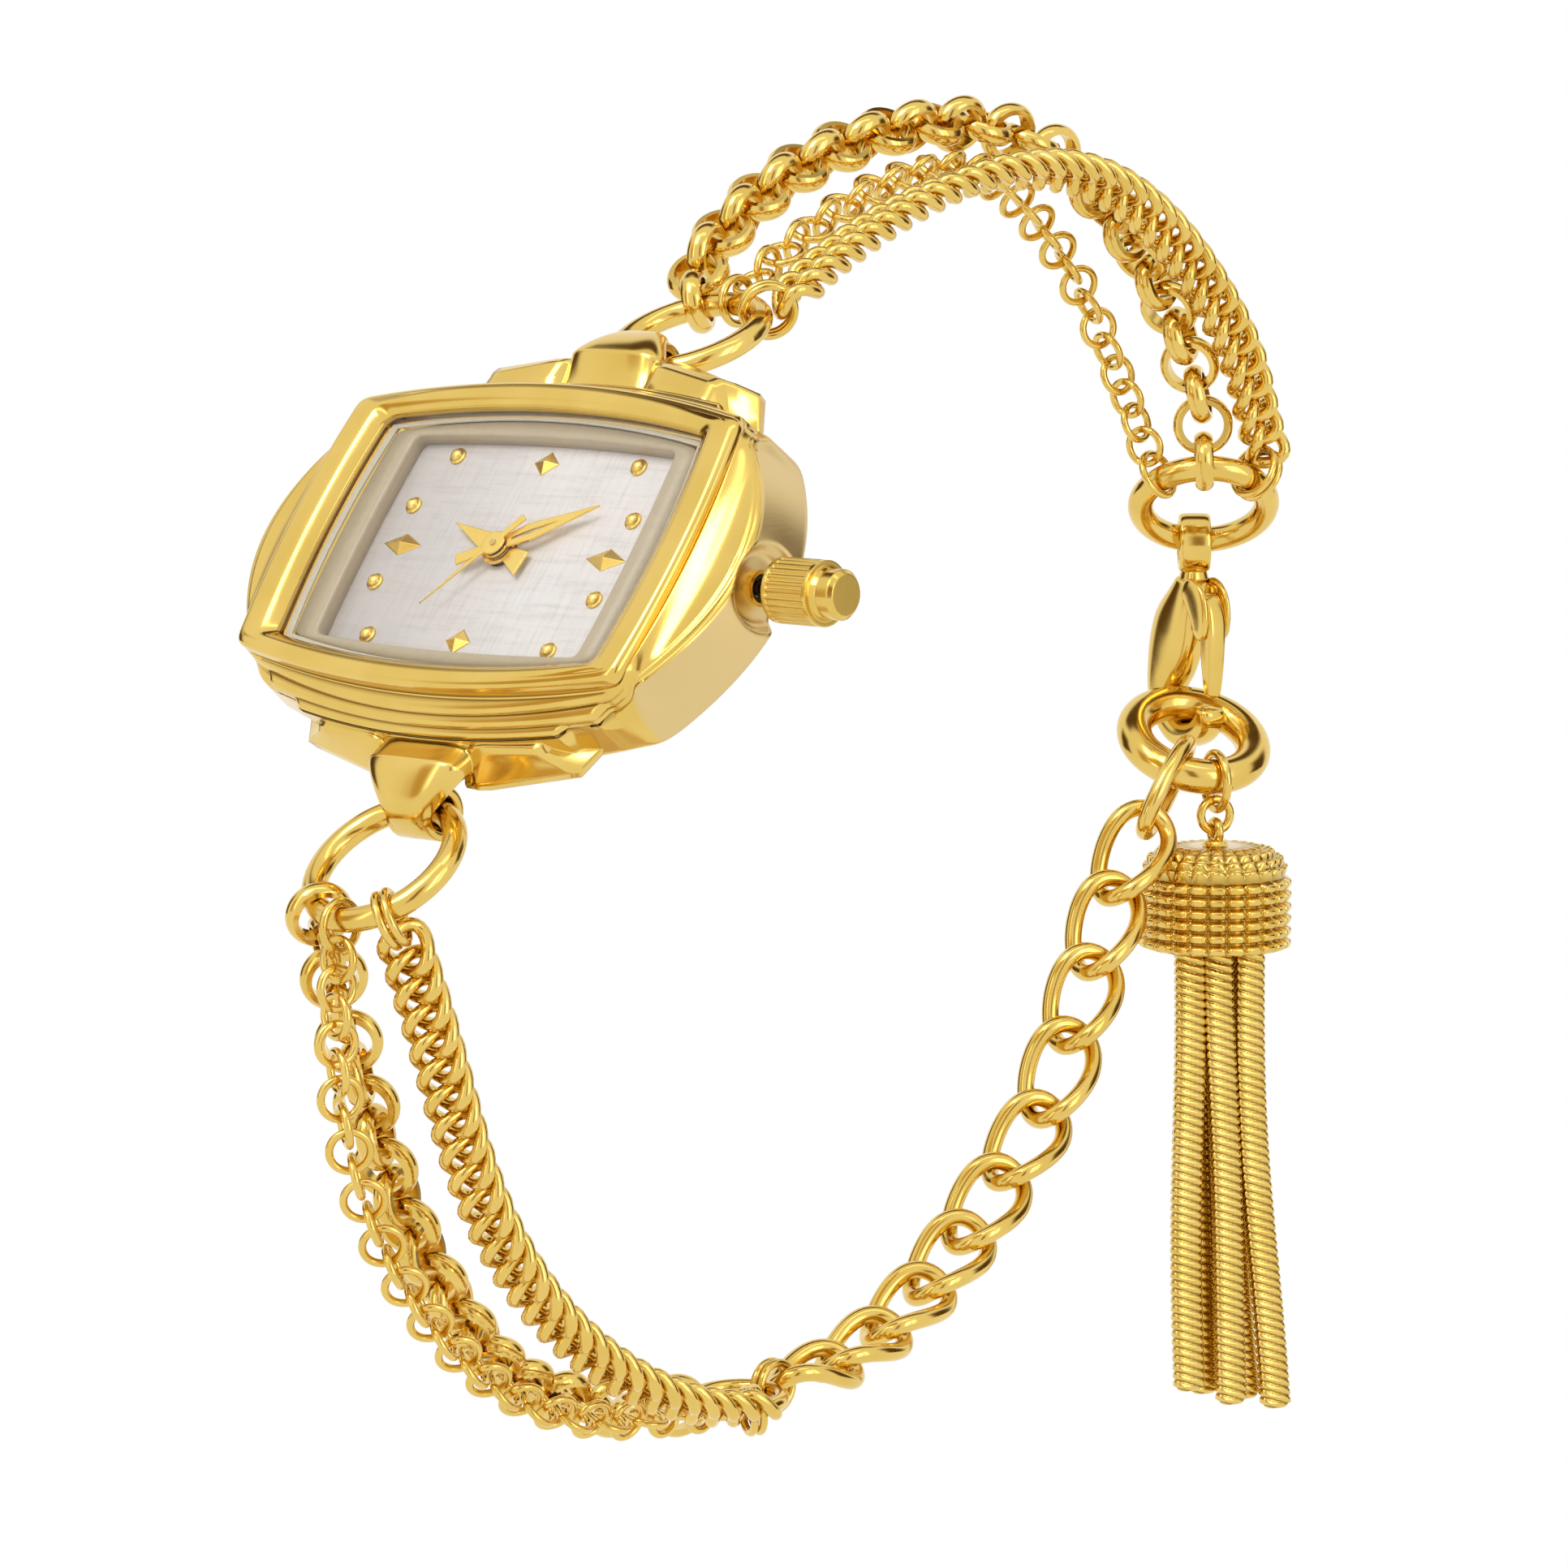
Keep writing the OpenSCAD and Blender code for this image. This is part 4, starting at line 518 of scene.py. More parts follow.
def loop_wire(path, radius, sides, through):
    """Closed round wire: a circle of the given radius square to each step of a closed path."""
    ahead = np.roll(path, -1, axis=0) - np.roll(path, 1, axis=0)
    ahead /= np.linalg.norm(ahead, axis=1, keepdims=True)
    out = np.cross(ahead, through)
    out /= np.linalg.norm(out, axis=1, keepdims=True)
    over = np.cross(out, ahead)
    turn = full_turn(sides)[None, :, None]
    points = path[:, None, :] + radius * (np.cos(turn) * out[:, None, :] + np.sin(turn) * over[:, None, :])
    return points.reshape(-1, 3), grid_faces(len(path), sides, True, True, True).tolist()


def twisted_link(long_half, wide_half, twist, wire, steps, sides):
    """Curb link: long cos t along, wide sin t across, twist sin 2t through, swept by round wire."""
    t = full_turn(steps)
    path = np.stack([long_half * np.cos(t), wide_half * np.sin(t), twist * np.sin(2 * t)], axis=1) * MM
    return loop_wire(path, wire * MM, sides, UPRIGHT)


def curb_links(node, unit, flat_unit=None):
    """Smooth links on a chain's packed links. A packed link that is thin takes the flat unit."""
    parts = []
    for points in islands(node):
        centre, axes = link_axes(points)
        thick = np.ptp((points - centre) @ axes[2])
        shape, faces = flat_unit if flat_unit and thick < 1.3 * MM else unit
        parts.append((centre + shape @ axes, faces))
    return settle(surface(node + "_links", *joined(parts), GOLD), node)


# tassel
def tassel_cap():
    """Ribbed dome over a skirt of short bars, turned about the tassel's axis with a hollow below.

    Ribs and bars stand out by a hump of the place round the axis times a hump of the place down it.
    """
    bars, steps_per_bar, dome_steps, skirt_steps = 24, 12, 5, 6
    turn = full_turn(bars * steps_per_bar)
    phase = turn * bars / (2 * math.pi)
    top, dome, skirt, radius, neck = -0.67, 1.7, 3.9, 4.1, 0.75
    shoulder, core, bore = top - dome, radius - 0.5, radius - 0.75
    within = 0.9999         # keeps the last row inside the last step

    def rows(*parts):
        return np.vstack([part + 0 * phase for part in parts])

    # dome: quarter of a superellipse from the neck to the shoulder, its ribs fading in from the neck
    a = np.linspace(0, 1, 51)[:, None]
    rib = hump(phase, 2.2) * np.clip(a * 3 - 0.3, 0, 1) * np.clip((1 - a) * 9, 0, 1)
    rib = rib * (hump(a * dome_steps * within, 2.0) * np.clip(a * 6, 0, 1))
    dome_r = neck + (radius - 0.28 - neck) * np.sin(a * math.pi / 2) ** 0.85 + rib * 0.22 * a - 0.06
    dome_z = shoulder + dome * np.cos(a * math.pi / 2) ** 0.8 + rib * 0.26 - 0.06
    # skirt: rows of rounded bars
    b = np.linspace(0, 1, 73)[:, None]
    bar = np.clip(hump(phase, 5.0) * hump(b * skirt_steps * within, 2.0) * 1.25, 0, 1)
    r = rows(column(0.02, 0.45, 0.68), dome_r, core + 0.5 * bar, column(core, bore, bore, 0.05))
    z = rows(column(0.26, 0.24, 0.14) + top, dome_z, shoulder - skirt * b,
             column(shoulder - skirt, shoulder - skirt + 0.1, shoulder - 0.3, shoulder - 0.1))
    body = in_tassel(r * np.cos(turn), r * np.sin(turn), z)
    # painted shade between the ribs and between the bars, stored in the hollow attribute
    deep = rows(np.zeros((3, 1)), np.clip(1 - rib * 1.6, 0, 1) * 0.5 * np.clip(a * 5, 0, 1),
                np.clip(1 - bar * 1.5, 0, 1) * 0.6, np.zeros((4, 1)))
    t = full_turn(48)
    eye = loop_wire(in_tassel(0, 0.55 * np.cos(t), 0.55 * np.sin(t)), 0.24 * MM, 14, TASSEL_X)
    points, faces = joined([(body, grid_faces(len(r), len(turn), False, True, True).tolist()), eye])
    obj = surface("tassel_cap_turned", points, faces, GROOVE_SHADED_GOLD)
    paint_groove_shade(obj, np.concatenate([deep.ravel(), np.zeros(len(eye[0]))]))
    return settle(obj, "tassel_cap")


# each strand: place across and over the tassel, shortening, and drift sideways at its foot
STRANDS = ((-1.75, -0.50, 0.9, 0.25), (-0.95, 0.45, 0.6, 0.75), (0.0, -0.62, 0.0, 1.15),
           (0.85, 0.42, 0.4, 1.45), (1.75, -0.45, -0.1, 1.9))


def tassel_strands():
    """Flat snake chains of slanted plates, each plate proud of the next like roof tiles.

    A plate's width and thickness swell by its hump times a slope. A strand leans sideways by its
    drift times the share of the way down to the power 1.6, with a slow wave of 0.12 mm.
    """
    pitch, steps_per_plate, around = 0.46, 10, 28
    top, full, slant, wave = -3.72, 28.0, 0.55, 0.12
    turn = full_turn(around)
    across, over = boxy(np.cos(turn), 0.7), boxy(np.sin(turn), 0.5)
    parts, deep = [], []
    for number, (x0, y0, cut, drift) in enumerate(STRANDS):
        plates = int((full - cut) / pitch)
        s = np.arange(plates * steps_per_plate + 1)[:, None] * pitch / steps_per_plate
        phase = s / pitch + across * slant * np.sign(over)
        lift = hump(phase, 4) * (0.72 + 0.28 * (phase - np.floor(phase)))
        end = 0.35 + 0.65 * np.clip((s[-1] - s) / 0.3, 0, 1) ** 0.5
        wide, thick = (0.74 + 0.14 * lift) * end, (0.24 + 0.22 * lift) * end
        sway = s / full
        x = x0 + drift * sway ** 1.6 + wave * np.sin(sway * 7 + number * 2) + across * wide
        foot_x = x0 + drift + wave * math.sin(7 * s[-1, 0] / full + number * 2)
        ends = in_tassel(np.array([x0, foot_x]), y0, np.array([top, top - s[-1, 0] - 0.02]))
        parts.append(capped_tube(in_tassel(x, y0 + over * thick, top - s), ends, around))
        # painted shade where each plate dips under the next
        deep += [np.clip(1 - lift * 1.35, 0, 1).ravel() * 0.95, np.zeros(2)]
    obj = surface("tassel_strands_plaited", *joined(parts), GROOVE_SHADED_GOLD)
    return settle(paint_groove_shade(obj, np.concatenate(deep)), "tassel_strands")


# clasp
def cast_bar(keys, square_plane, square_thick, steps=64, around=32):
    """Closed bar along a Catmull-Rom curve in the clasp's plane.

    Keys are rows of across, up, half width in the plane and half thickness. The section is a
    superellipse with the two given powers, square to the curve, and both ends round off.
    """
    keys = np.array(keys, dtype=float)
    s = np.linspace(0, len(keys) - 1, steps)
    low = np.minimum(np.floor(s).astype(int), len(keys) - 2)
    u = (s - low)[:, None]
    longer = np.vstack([2 * keys[0] - keys[1], keys, 2 * keys[-1] - keys[-2]])
    p0, p1, p2, p3 = (longer[low + k] for k in range(4))
    row = 0.5 * (2 * p1 + (p2 - p0) * u + (2 * p0 - 5 * p1 + 4 * p2 - p3) * u ** 2
                 + (3 * p1 - p0 - 3 * p2 + p3) * u ** 3)
    ahead = np.gradient(row[:, :2], axis=0)
    ahead /= np.linalg.norm(ahead, axis=1, keepdims=True)
    side_x, side_z = -ahead[:, 1, None], ahead[:, 0, None]
    to_end = np.minimum(np.arange(steps), steps - 1 - np.arange(steps)) / 4.0
    cap = np.sqrt(np.clip(1 - (1 - np.clip(to_end, 0, 1)) ** 2, 0.002, 1))
    turn = full_turn(around)
    half = (row[:, 2] * cap)[:, None] * boxy(np.cos(turn), square_plane)
    through = (row[:, 3] * cap)[:, None] * boxy(np.sin(turn), square_thick)
    rings = in_clasp(row[:, 0, None] + side_x * half, through, row[:, 1, None] + side_z * half)
    return capped_tube(rings, in_clasp(row[[0, -1], 0], 0.0, row[[0, -1], 1]), around)


def clasp_body():
    """Lobster clasp: strap loop, collar, a broad back that thins into the hook, and two cheeks."""
    yaw, strap_steps, strap_sides = math.radians(41), 56, 20
    wide_way = np.array([math.cos(yaw), math.sin(yaw), 0.0])
    deep_way = np.array([-math.sin(yaw), math.cos(yaw), 0.0])
    turn, q = full_turn(strap_steps)[:, None], full_turn(strap_sides)
    reach = 1.22 + 0.27 * boxy(np.sin(q), 0.5)
    strap = along_axes(CLASP_AT, (wide_way, deep_way, UPRIGHT), 0.85 * boxy(np.cos(q), 0.5),
                       reach * np.sin(turn), reach * np.cos(turn) * 1.08)
    hook = cast_bar([[0.05, -1.75, 0.8, 0.8], [-0.35, -3.0, 1.25, 0.98], [-1.1, -4.6, 1.72, 1.05],
                     [-1.72, -6.4, 1.58, 1.02], [-2.15, -8.0, 1.08, 0.98], [-1.8, -9.5, 0.85, 0.95],
                     [-0.75, -10.4, 0.75, 0.95], [0.55, -10.3, 0.68, 0.9], [1.35, -9.65, 0.66, 0.85],
                     [1.55, -8.75, 0.55, 0.8]], 0.8, 0.7, 90)
    collar = cast_bar([[0.0, -1.35, 0.62, 0.62], [0.0, -1.75, 0.72, 0.72], [0.0, -2.15, 0.8, 0.8]],
                      0.8, 0.8, 16, 28)
    cheek, cheek_faces = cast_bar([[0.1, -2.1, 0.5, 0.22], [1.0, -2.9, 0.85, 0.22], [1.45, -4.0, 0.7, 0.22],
                                   [1.55, -5.2, 0.35, 0.2]], 0.8, 0.8, 30, 20)
    parts = [(strap, outward(strap, grid_faces(strap_steps, strap_sides, True, True))), hook, collar]
    parts += [(cheek + CLASP_Y * 0.78 * way * MM, cheek_faces) for way in (-1, 1)]
    return settle(surface("clasp_body_cast", *joined(parts), GOLD), "clasp_body")


def clasp_lever():
    """Sprung lever: a flat rounded strip down the mouth of the hook."""
    lever = cast_bar([[0.75, -2.95, 0.34, 0.46], [1.3, -3.2, 0.48, 0.58], [1.62, -4.3, 0.54, 0.62],
                      [1.66, -6.2, 0.46, 0.58], [1.68, -7.5, 0.34, 0.5], [1.68, -8.35, 0.2, 0.42]], 0.6, 0.4)
    return settle(surface("clasp_lever_cast", *lever, GOLD), "clasp_lever")


# case: columns along a long and a short side, steps down a wall and steps round its foot
LONG, SHORT = np.linspace(-1, 1, 141), np.linspace(1, -1, 101)
DOWN, ROUND = np.linspace(0, 1, 16), np.linspace(0, math.pi / 2, 5)[1:]
# corners of the bezel's rim and of its window, heights, and the foot's rounding, in millimetres
CORNER_X, CORNER_Y = 12.1, 7.0
WINDOW_X, WINDOW_Y = 10.1, 6.15
DIAL_HIGH, CROWN_HIGH = 3.27, 1.85
FOOT_ROUND, FOOT_HIGH = 0.3, 0.6


def bezel_y(x):
    """Rim's long side: a parabola, 1.4 mm further out in its middle than at its corners."""
    return CORNER_Y + 1.4 * (1 - (x / CORNER_X) ** 2)


def bezel_x(y):
    """Rim's short side: a parabola, 0.5 mm further out in its middle than at its corners."""
    return CORNER_X + 0.5 * (1 - (y / CORNER_Y) ** 2)


def side_rows(x, y, n):
    """One side's points, (rows, columns, 3)."""
    return np.stack(np.broadcast_arrays(x, y, n), axis=2)


def four_sides(long_side, short_side):
    """Closed rows round the case from the 12 and 3 o'clock sides.

    The long side runs from -X to +X, the short one from +Y to -Y. Both are eased to a shared corner
    over the last tenth before each end, and turned half round for the 6 and 9 o'clock sides.
    """
    corner = (long_side[:, -1] + short_side[:, 0]) / 2
    for side, axis, way, end in ((long_side, 0, 1, -1), (short_side, 1, -1, 0)):
        part = np.linspace(-1, 1, side.shape[1])
        pull = ease((np.abs(part) - 0.9) / 0.1)[None, :, None] * (corner - side[:, end])[:, None, :]
        pull[:, :, axis] *= np.sign(part) * way
        side += pull
    half_turn = np.array([-1.0, -1.0, 1.0])
    half = np.concatenate([long_side[:, :-1], short_side[:, :-1]], axis=1)
    grid = np.concatenate([half, half * half_turn], axis=1)
    # the four corners are rounded by letting the columns near them close up a little at a time
    count, first = grid.shape[1], long_side.shape[1] - 1
    corners = np.array([0, first, count // 2, count // 2 + first])
    apart = np.abs((np.arange(count)[:, None] - corners + count // 2) % count - count // 2).min(axis=1)
    hold = 0.5 * np.exp(-(apart / 4.0) ** 2)[None, :, None]
    for _ in range(10):
        grid += hold * ((np.roll(grid, 1, axis=1) + np.roll(grid, -1, axis=1)) / 2 - grid)
    return grid


def closed_rows(grid):
    """Points and faces of four_sides' rows, closed round the case and from the last to the first."""
    points = in_case(grid[..., 0], grid[..., 1], grid[..., 2])
    return points, outward(points, grid_faces(grid.shape[0], grid.shape[1], True, True))


def bezel_frame():
    """Bezel: window wall, inner facet, slightly domed top, rolled rim and outer wall.

    A row lies at a share of the way from the window's corners to the rim's, and each of its sides
    bows out by an amount times one less the square of the place along it.
    """
    roll, roll_high = 0.36, 4.76
    # share, millimetres added, height on the long sides and on the short ones
    rows = [(0, 0, 4.2, 4.2), (0, 0, 4.66, 4.6), (0, 0.05, 4.76, 4.68), (0, 0.5, 5.03, 5.03),
            (0, 0.62, 5.09, 5.09), (0.5, 0.3, 5.16, 5.16)]
    for a in np.linspace(0, math.pi / 2, 8):
        high = roll_high + roll * math.cos(a)
        rows.append((1, -roll + roll * math.sin(a), high, high))
    rows += [(1, 0, 4.5, 4.66), (1, 0, 4.15, 4.56), (1, -0.08, 4.03, 4.5), (1, -0.7, 4.02, 4.35),
             (0, 0.3, 4.1, 4.1)]
    share, add, high_long, high_short = (np.array(c)[:, None] for c in zip(*rows))
    x = WINDOW_X + (CORNER_X - WINDOW_X) * share + add
    y = WINDOW_Y + (CORNER_Y - WINDOW_Y) * share + np.where(share < 0.9, add * 0.6, add)
    long_side = side_rows(LONG * x, y + (0.9 + 0.5 * share) * (1 - LONG ** 2), high_long)
    short_side = side_rows(x + (0.45 + 0.05 * share) * (1 - SHORT ** 2), SHORT * y, high_short)
    bezel = closed_rows(four_sides(long_side, short_side))
    return settle(surface("bezel_rolled", *bezel, GOLD), "bezel")


# each ridge's outer line: its y in the middle and at its reach, its reach in x; its top and its drop
RIDGES = ((9.03, 7.4, 11.2, 3.95, 0.5), (9.48, 8.25, 10.3, 3.52, 0.48), (9.83, 9.1, 8.2, 3.1, 0.46))
RIDGE_STEPS = 8


def ridge_side():
    """Case's 12 o'clock side: three crescent ridges, a wall with a rounded foot, and the underside.

    A ridge is a quarter ellipse from the foot of the one above to its own outer line, a parabola,
    and it dies out over the last half millimetre of its reach.
    """
    x = LONG * CORNER_X
    line = bezel_y(x)
    rows = [(line - 0.6, 4.0), (line - 0.02, 3.98)]
    for middle, end, reach, top, drop in RIDGES:
        outer = middle - (middle - end) * (x / reach) ** 2
        outer = line + (np.maximum(outer, line) - line) * ease((reach + 0.5 - np.abs(x)) / 0.5)
        foot = line - 0.02
        for t in np.linspace(0, math.pi / 2, RIDGE_STEPS):
            rows.append((foot + (outer - foot) * math.sin(t), top - drop + drop * math.cos(t)))
        line = outer
    wall = np.maximum(7.61 + 2.2 * (1 - (x / CORNER_X) ** 2), line - 0.02)
    rows += [(line + (wall - line) * ease(d * 4), 2.8 - 2.2 * d) for d in DOWN]
    rows += [(wall - FOOT_ROUND + FOOT_ROUND * math.cos(a), FOOT_HIGH - FOOT_ROUND * math.sin(a))
             for a in ROUND]
    bore = 5.95 + 0.3 * (1 - LONG ** 2)
    rows += [(7.2 + 0 * x, 0.32), (bore, 0.4), (bore, 3.98)]
    y, n = (np.array(part) for part in zip(*rows))
    x = np.tile(x, (len(rows), 1))
    x[-3:] *= column(11.0, 9.75, 9.75) / CORNER_X
    return side_rows(x, y, n[:, None])


def facet_side():
    """Case's 3 o'clock side, in as many rows: a hollowed facet, a rounded rim and a bowed flank.

    The facet's far edge and the flank's foot are parabolas along the side. Its hollow is a sine
    across, and all of its depths fade with the width that the facet has left.
    """
    corner = np.concatenate([np.full(2, 7.0), np.linspace(7.0, 7.3, 3 * RIDGE_STEPS),
                             np.linspace(7.3, 7.62, len(DOWN)), np.full(4, 7.6), [7.2, 5.95, 5.95]])
    y = SHORT * corner[:, None]
    base = bezel_x(np.clip(y, -CORNER_Y, CORNER_Y))
    arc = np.maximum(12.0 + 3.25 * (1 - (y / 6.75) ** 2), base + 0.02)
    foot = np.maximum(12.25 + 3.3 * (1 - (y / 7.65) ** 2), base - 0.05)
    out = arc - base
    depth = np.clip(out / 2.6, 0, 1)
    x, n = np.empty_like(y), np.empty_like(y)
    facet, rim, flank, under = slice(2, 18), slice(18, 26), slice(26, 42), slice(42, 46)
    rim_high, rim_round = 3.66, 0.24
    x[:2], n[:2] = base[:2] - column(0.6, 0.06), column(4.3, 4.5)
    t = np.linspace(0, 1, 17)[:16, None]
    hollow = 0.24 * np.sin(math.pi * np.minimum(1.0, t * 1.04)) - 0.04 * t
    x[facet] = base[facet] - 0.03 + (out[facet] - 0.22 * depth[facet]) * t
    n[facet] = 4.54 - 0.60 * t - hollow * depth[facet]
    a = np.linspace(-0.5, math.pi / 2, 8)[:, None]
    x[rim] = arc[rim] - rim_round * depth[rim] + rim_round * depth[rim] * np.sin(a)
    n[rim] = rim_high + 0.26 * np.cos(a)
    d = DOWN[:, None]
    x[flank] = arc[flank] + (foot[flank] - arc[flank]) * d + 0.07 * np.sin(math.pi * d)
    n[flank] = rim_high - 3.06 * d
    x[under] = foot[under] - FOOT_ROUND + FOOT_ROUND * np.cos(ROUND[:, None])
    n[under] = FOOT_HIGH - FOOT_ROUND * np.sin(ROUND[:, None])
    x[46], x[47:] = 11.0, 9.75 + 0.3 * (1 - SHORT ** 2)
    n[46:] = column(0.32, 0.4, 3.98)
    return side_rows(x, y, n)


def case_band():
    """Case under the bezel: its points, its faces and how much painted shade each point takes at a ridge's
    foot.

    The crown's seat is a dish, 0.78 mm times exp of minus the 14th power of the distance from the
    stem over 1.88 mm.
    """
    grid = four_sides(ridge_side(), facet_side())
    gap = np.hypot(grid[..., 1], grid[..., 2] - CROWN_HIGH)
    grid[..., 0] -= np.where(grid[..., 0] > 13.5, 0.78 * np.exp(-(gap / 1.88) ** 14), 0.0)
    # painted shade in the crease at the foot of each ridge and at the top of the wall, row by row
    foot = np.zeros((grid.shape[0], 1))
    for row, much in ((2, 0.9), (3, 0.3), (10, 1.0), (11, 0.4), (18, 1.0), (19, 0.4), (26, 0.8), (27, 0.4)):
        foot[row] = much
    ridged = (np.abs(grid[..., 0]) < 10.9) & (np.abs(grid[..., 1]) > 7.2)
    return (*closed_rows(grid), (foot * ridged).ravel())


def lug_middle(side, reach):
    """Lug's middle leaf: a slightly hollow plate up to a crease, then a rounded face that narrows and
    curls down to the tip."""
    s, t = np.linspace(0, 1, 25), np.linspace(0, 1, 41)[1:]
    far = np.sin(t * math.pi / 2)
    y = np.concatenate([8.4 + (2.7 + reach) * s, 11.1 + reach + (2.55 - reach * 0.4) * far])
    top = np.concatenate([2.7 - 0.30 * np.sin(s * math.pi) + 0.3 * s, 3.0 - 1.3 * far ** 1.5 - 1.0 * t ** 4])
    wide = np.concatenate([3.25 - 0.45 * s, (2.8 - 1.85 * far ** 1.2) * (1 - t ** 10) ** 0.5])
    thick = np.concatenate([1.9 + 0 * s, 1.9 - 1.3 * t])
    around = 40
    turn = full_turn(around)
    x = boxy(np.cos(turn), 0.5) * np.maximum(wide, 0.12)[:, None]
    n = top[:, None] - thick[:, None] / 2 + boxy(np.sin(turn), 0.8) * thick[:, None] / 2
    ends = in_case(0.0, side * y[[0, -1]], (top - thick / 2)[[0, -1]])
    return capped_tube(in_case(x, side * y[:, None], n), ends, around)


def lug_leaf(side, hand, reach):
    """Lug's side leaf: top edge by the ridges, a step, then a facet that falls to a low pointed edge.

    Straight lines join its inner section to its outer one, and that to a lower tail by the flank.
    """
    inner = np.array([[3.4, 8.8, 2.45], [3.9, 9.45, 2.55], [3.75, 9.95, 2.5], [3.55, 10.15, 2.2],
                      [3.3, 10.4, 1.9], [3.0, 11.25, 0.75], [2.95, 11.3, 0.45], [3.2, 10.6, 0.25],
                      [3.2, 8.6, 0.3]])
    outer = np.array([[7.2, 8.3, 2.3], [7.1, 9.1, 2.4], [7.05, 9.55, 2.34], [7.2, 9.75, 2.05],
                      [7.7, 9.78, 1.65], [8.75, 9.75, 0.95], [8.5, 9.8, 0.5], [7.6, 9.4, 0.25],
                      [7.6, 8.3, 0.3]])
    for edge in (inner, outer):
        edge[1:8, 1] += reach * np.clip((edge[1:8, 1] - 8.9) / 1.2, 0, 1)
        edge[1:6, 2] += reach * 0.2
    tail = outer + np.array([1.1, -2.4, 0.0]) * column(1, 1, 1, 1, 1, 0.85, 0.9, 1, 1)
    tail[:, 2] = np.minimum(tail[:, 2], 1.1)
    inner[:, 0] -= 0.9
    t = np.linspace(0, 1, 10)[None, :, None]
    grid = np.concatenate([inner[:, None, :] * (1 - t) + outer[:, None, :] * t,
                           outer[:, None, :] * (1 - t[:, 1:]) + tail[:, None, :] * t[:, 1:]], axis=1)
    fine = np.linspace(0, len(grid), 73)[:-1]
    low = np.floor(fine).astype(int) % len(grid)
    part = (fine - np.floor(fine))[:, None, None]
    rows = grid[low] * (1 - part) + grid[(low + 1) % len(grid)] * part
    middle = rows.mean(axis=0, keepdims=True)
    cols = rows.shape[1]
    shrink = 0.82 + 0.18 * np.sqrt(np.clip(np.arange(cols) / 2.0, 0, 1))
    rows = middle + (rows - middle) * shrink[None, :, None]
    tips = middle[0, [0, -1]]
    points = np.vstack([in_case(hand * p[..., 0], side * p[..., 1], p[..., 2]) for p in (rows, tips)])
    rim, tip = np.arange(len(rows)) * cols, len(points) - 2
    fans = fan(tip, rim) + fan(tip + 1, rim + cols - 1, True)
    return points, outward(points, grid_faces(len(rows), cols, True, False), np.array(fans))


def lug_barrel(side):
    """Tube across the lug's end that the ring runs through, with quarter-round mouths."""
    turn = full_turn(48)
    a = np.linspace(0, math.pi / 2, 6)
    half, out_r, in_r, r = 1.35, 1.3, 0.82, 0.2
    x = np.concatenate([half - r + r * np.sin(a), half - r + r * np.cos(a)])
    rad = np.concatenate([out_r - r + r * np.cos(a), in_r + r - r * np.sin(a)])
    x, rad = np.concatenate([x, -x[::-1]])[:, None], np.concatenate([rad, rad[::-1]])[:, None]
    points = in_case(x, side * 12.4 + rad * np.cos(turn), 0.4 + rad * np.sin(turn))
    return points, outward(points, grid_faces(len(x), len(turn), True, True))


def case_shell():
    """Case middle with its two lugs. The 12 o'clock lug reaches further."""
    band, band_faces, deep = case_band()
    parts = [(band, band_faces)]
    for side, reach in ((1, 0.5), (-1, 0.0)):
        parts += [lug_middle(side, reach), lug_leaf(side, 1, reach * 2.8), lug_leaf(side, -1, reach * 2.8),
                  lug_barrel(side)]
    points, faces = joined(parts)
    obj = surface("case_shell", points, faces, MATERIALS["satin_gold"])
    paint_groove_shade(obj, np.concatenate([deep, np.zeros(len(points) - len(deep))]))
    return settle(obj, "case_middle")


def dial_surround():
    """Pale ring between the dial and the crystal: upright wall, rolled edge, flat top to the bezel."""
    a = np.linspace(0, math.pi / 2, 6)
    roll, wall_high, top_high = 0.15, 3.9, 4.05
    inset = np.concatenate([[0.0], roll - roll * np.cos(a)])
    wide = np.concatenate([8.3 + inset, [9.6, 9.6]])[:, None]
    deep = np.concatenate([5.6 + inset, [5.75, 5.75]])[:, None]
    height = np.concatenate([[DIAL_HIGH], wall_high + roll * np.sin(a), [top_high, DIAL_HIGH]])[:, None]
    bow_x, bow_y = column(*[0.2] * 7, 0.3, 0.3), column(*[0.3] * 7, 1.15, 0.3)
    long_side = side_rows(LONG * wide, deep + bow_y * (1 - LONG ** 2), height)
    short_side = side_rows(wide + bow_x * (1 - SHORT ** 2), SHORT * deep, height)
    ring = closed_rows(four_sides(long_side, short_side))
    return settle(surface("dial_surround", *ring, MATERIALS["pale_gold"]), "inner_ring")


def hour_dots():
    """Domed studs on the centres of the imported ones: a quarter ellipse, turned, and a flat rim."""
    a = np.linspace(0, math.pi / 2, 12)[1:]
    rad = np.concatenate([[0.005], 0.34 * np.sin(a), [0.42, 0.44, 0.44, 0.005]])[:, None]
    high = np.concatenate([[0.36], 0.10 + 0.26 * np.cos(a), [0.09, 0.07, -0.02, -0.02]])[:, None]
    turn = full_turn(32)
    parts = []
    for packed in islands("hour_dots"):
        centre = (packed.min(axis=0) + packed.max(axis=0)) / 2 / MM
        points = in_case(centre @ EAST + rad * np.cos(turn), centre @ TWELVE + rad * np.sin(turn),
                         DIAL_HIGH + high)
        parts.append((points, outward(points, grid_faces(len(rad), len(turn), True, True))))
    return settle(surface("hour_studs", *joined(parts), HAND_GOLD), "hour_dots")


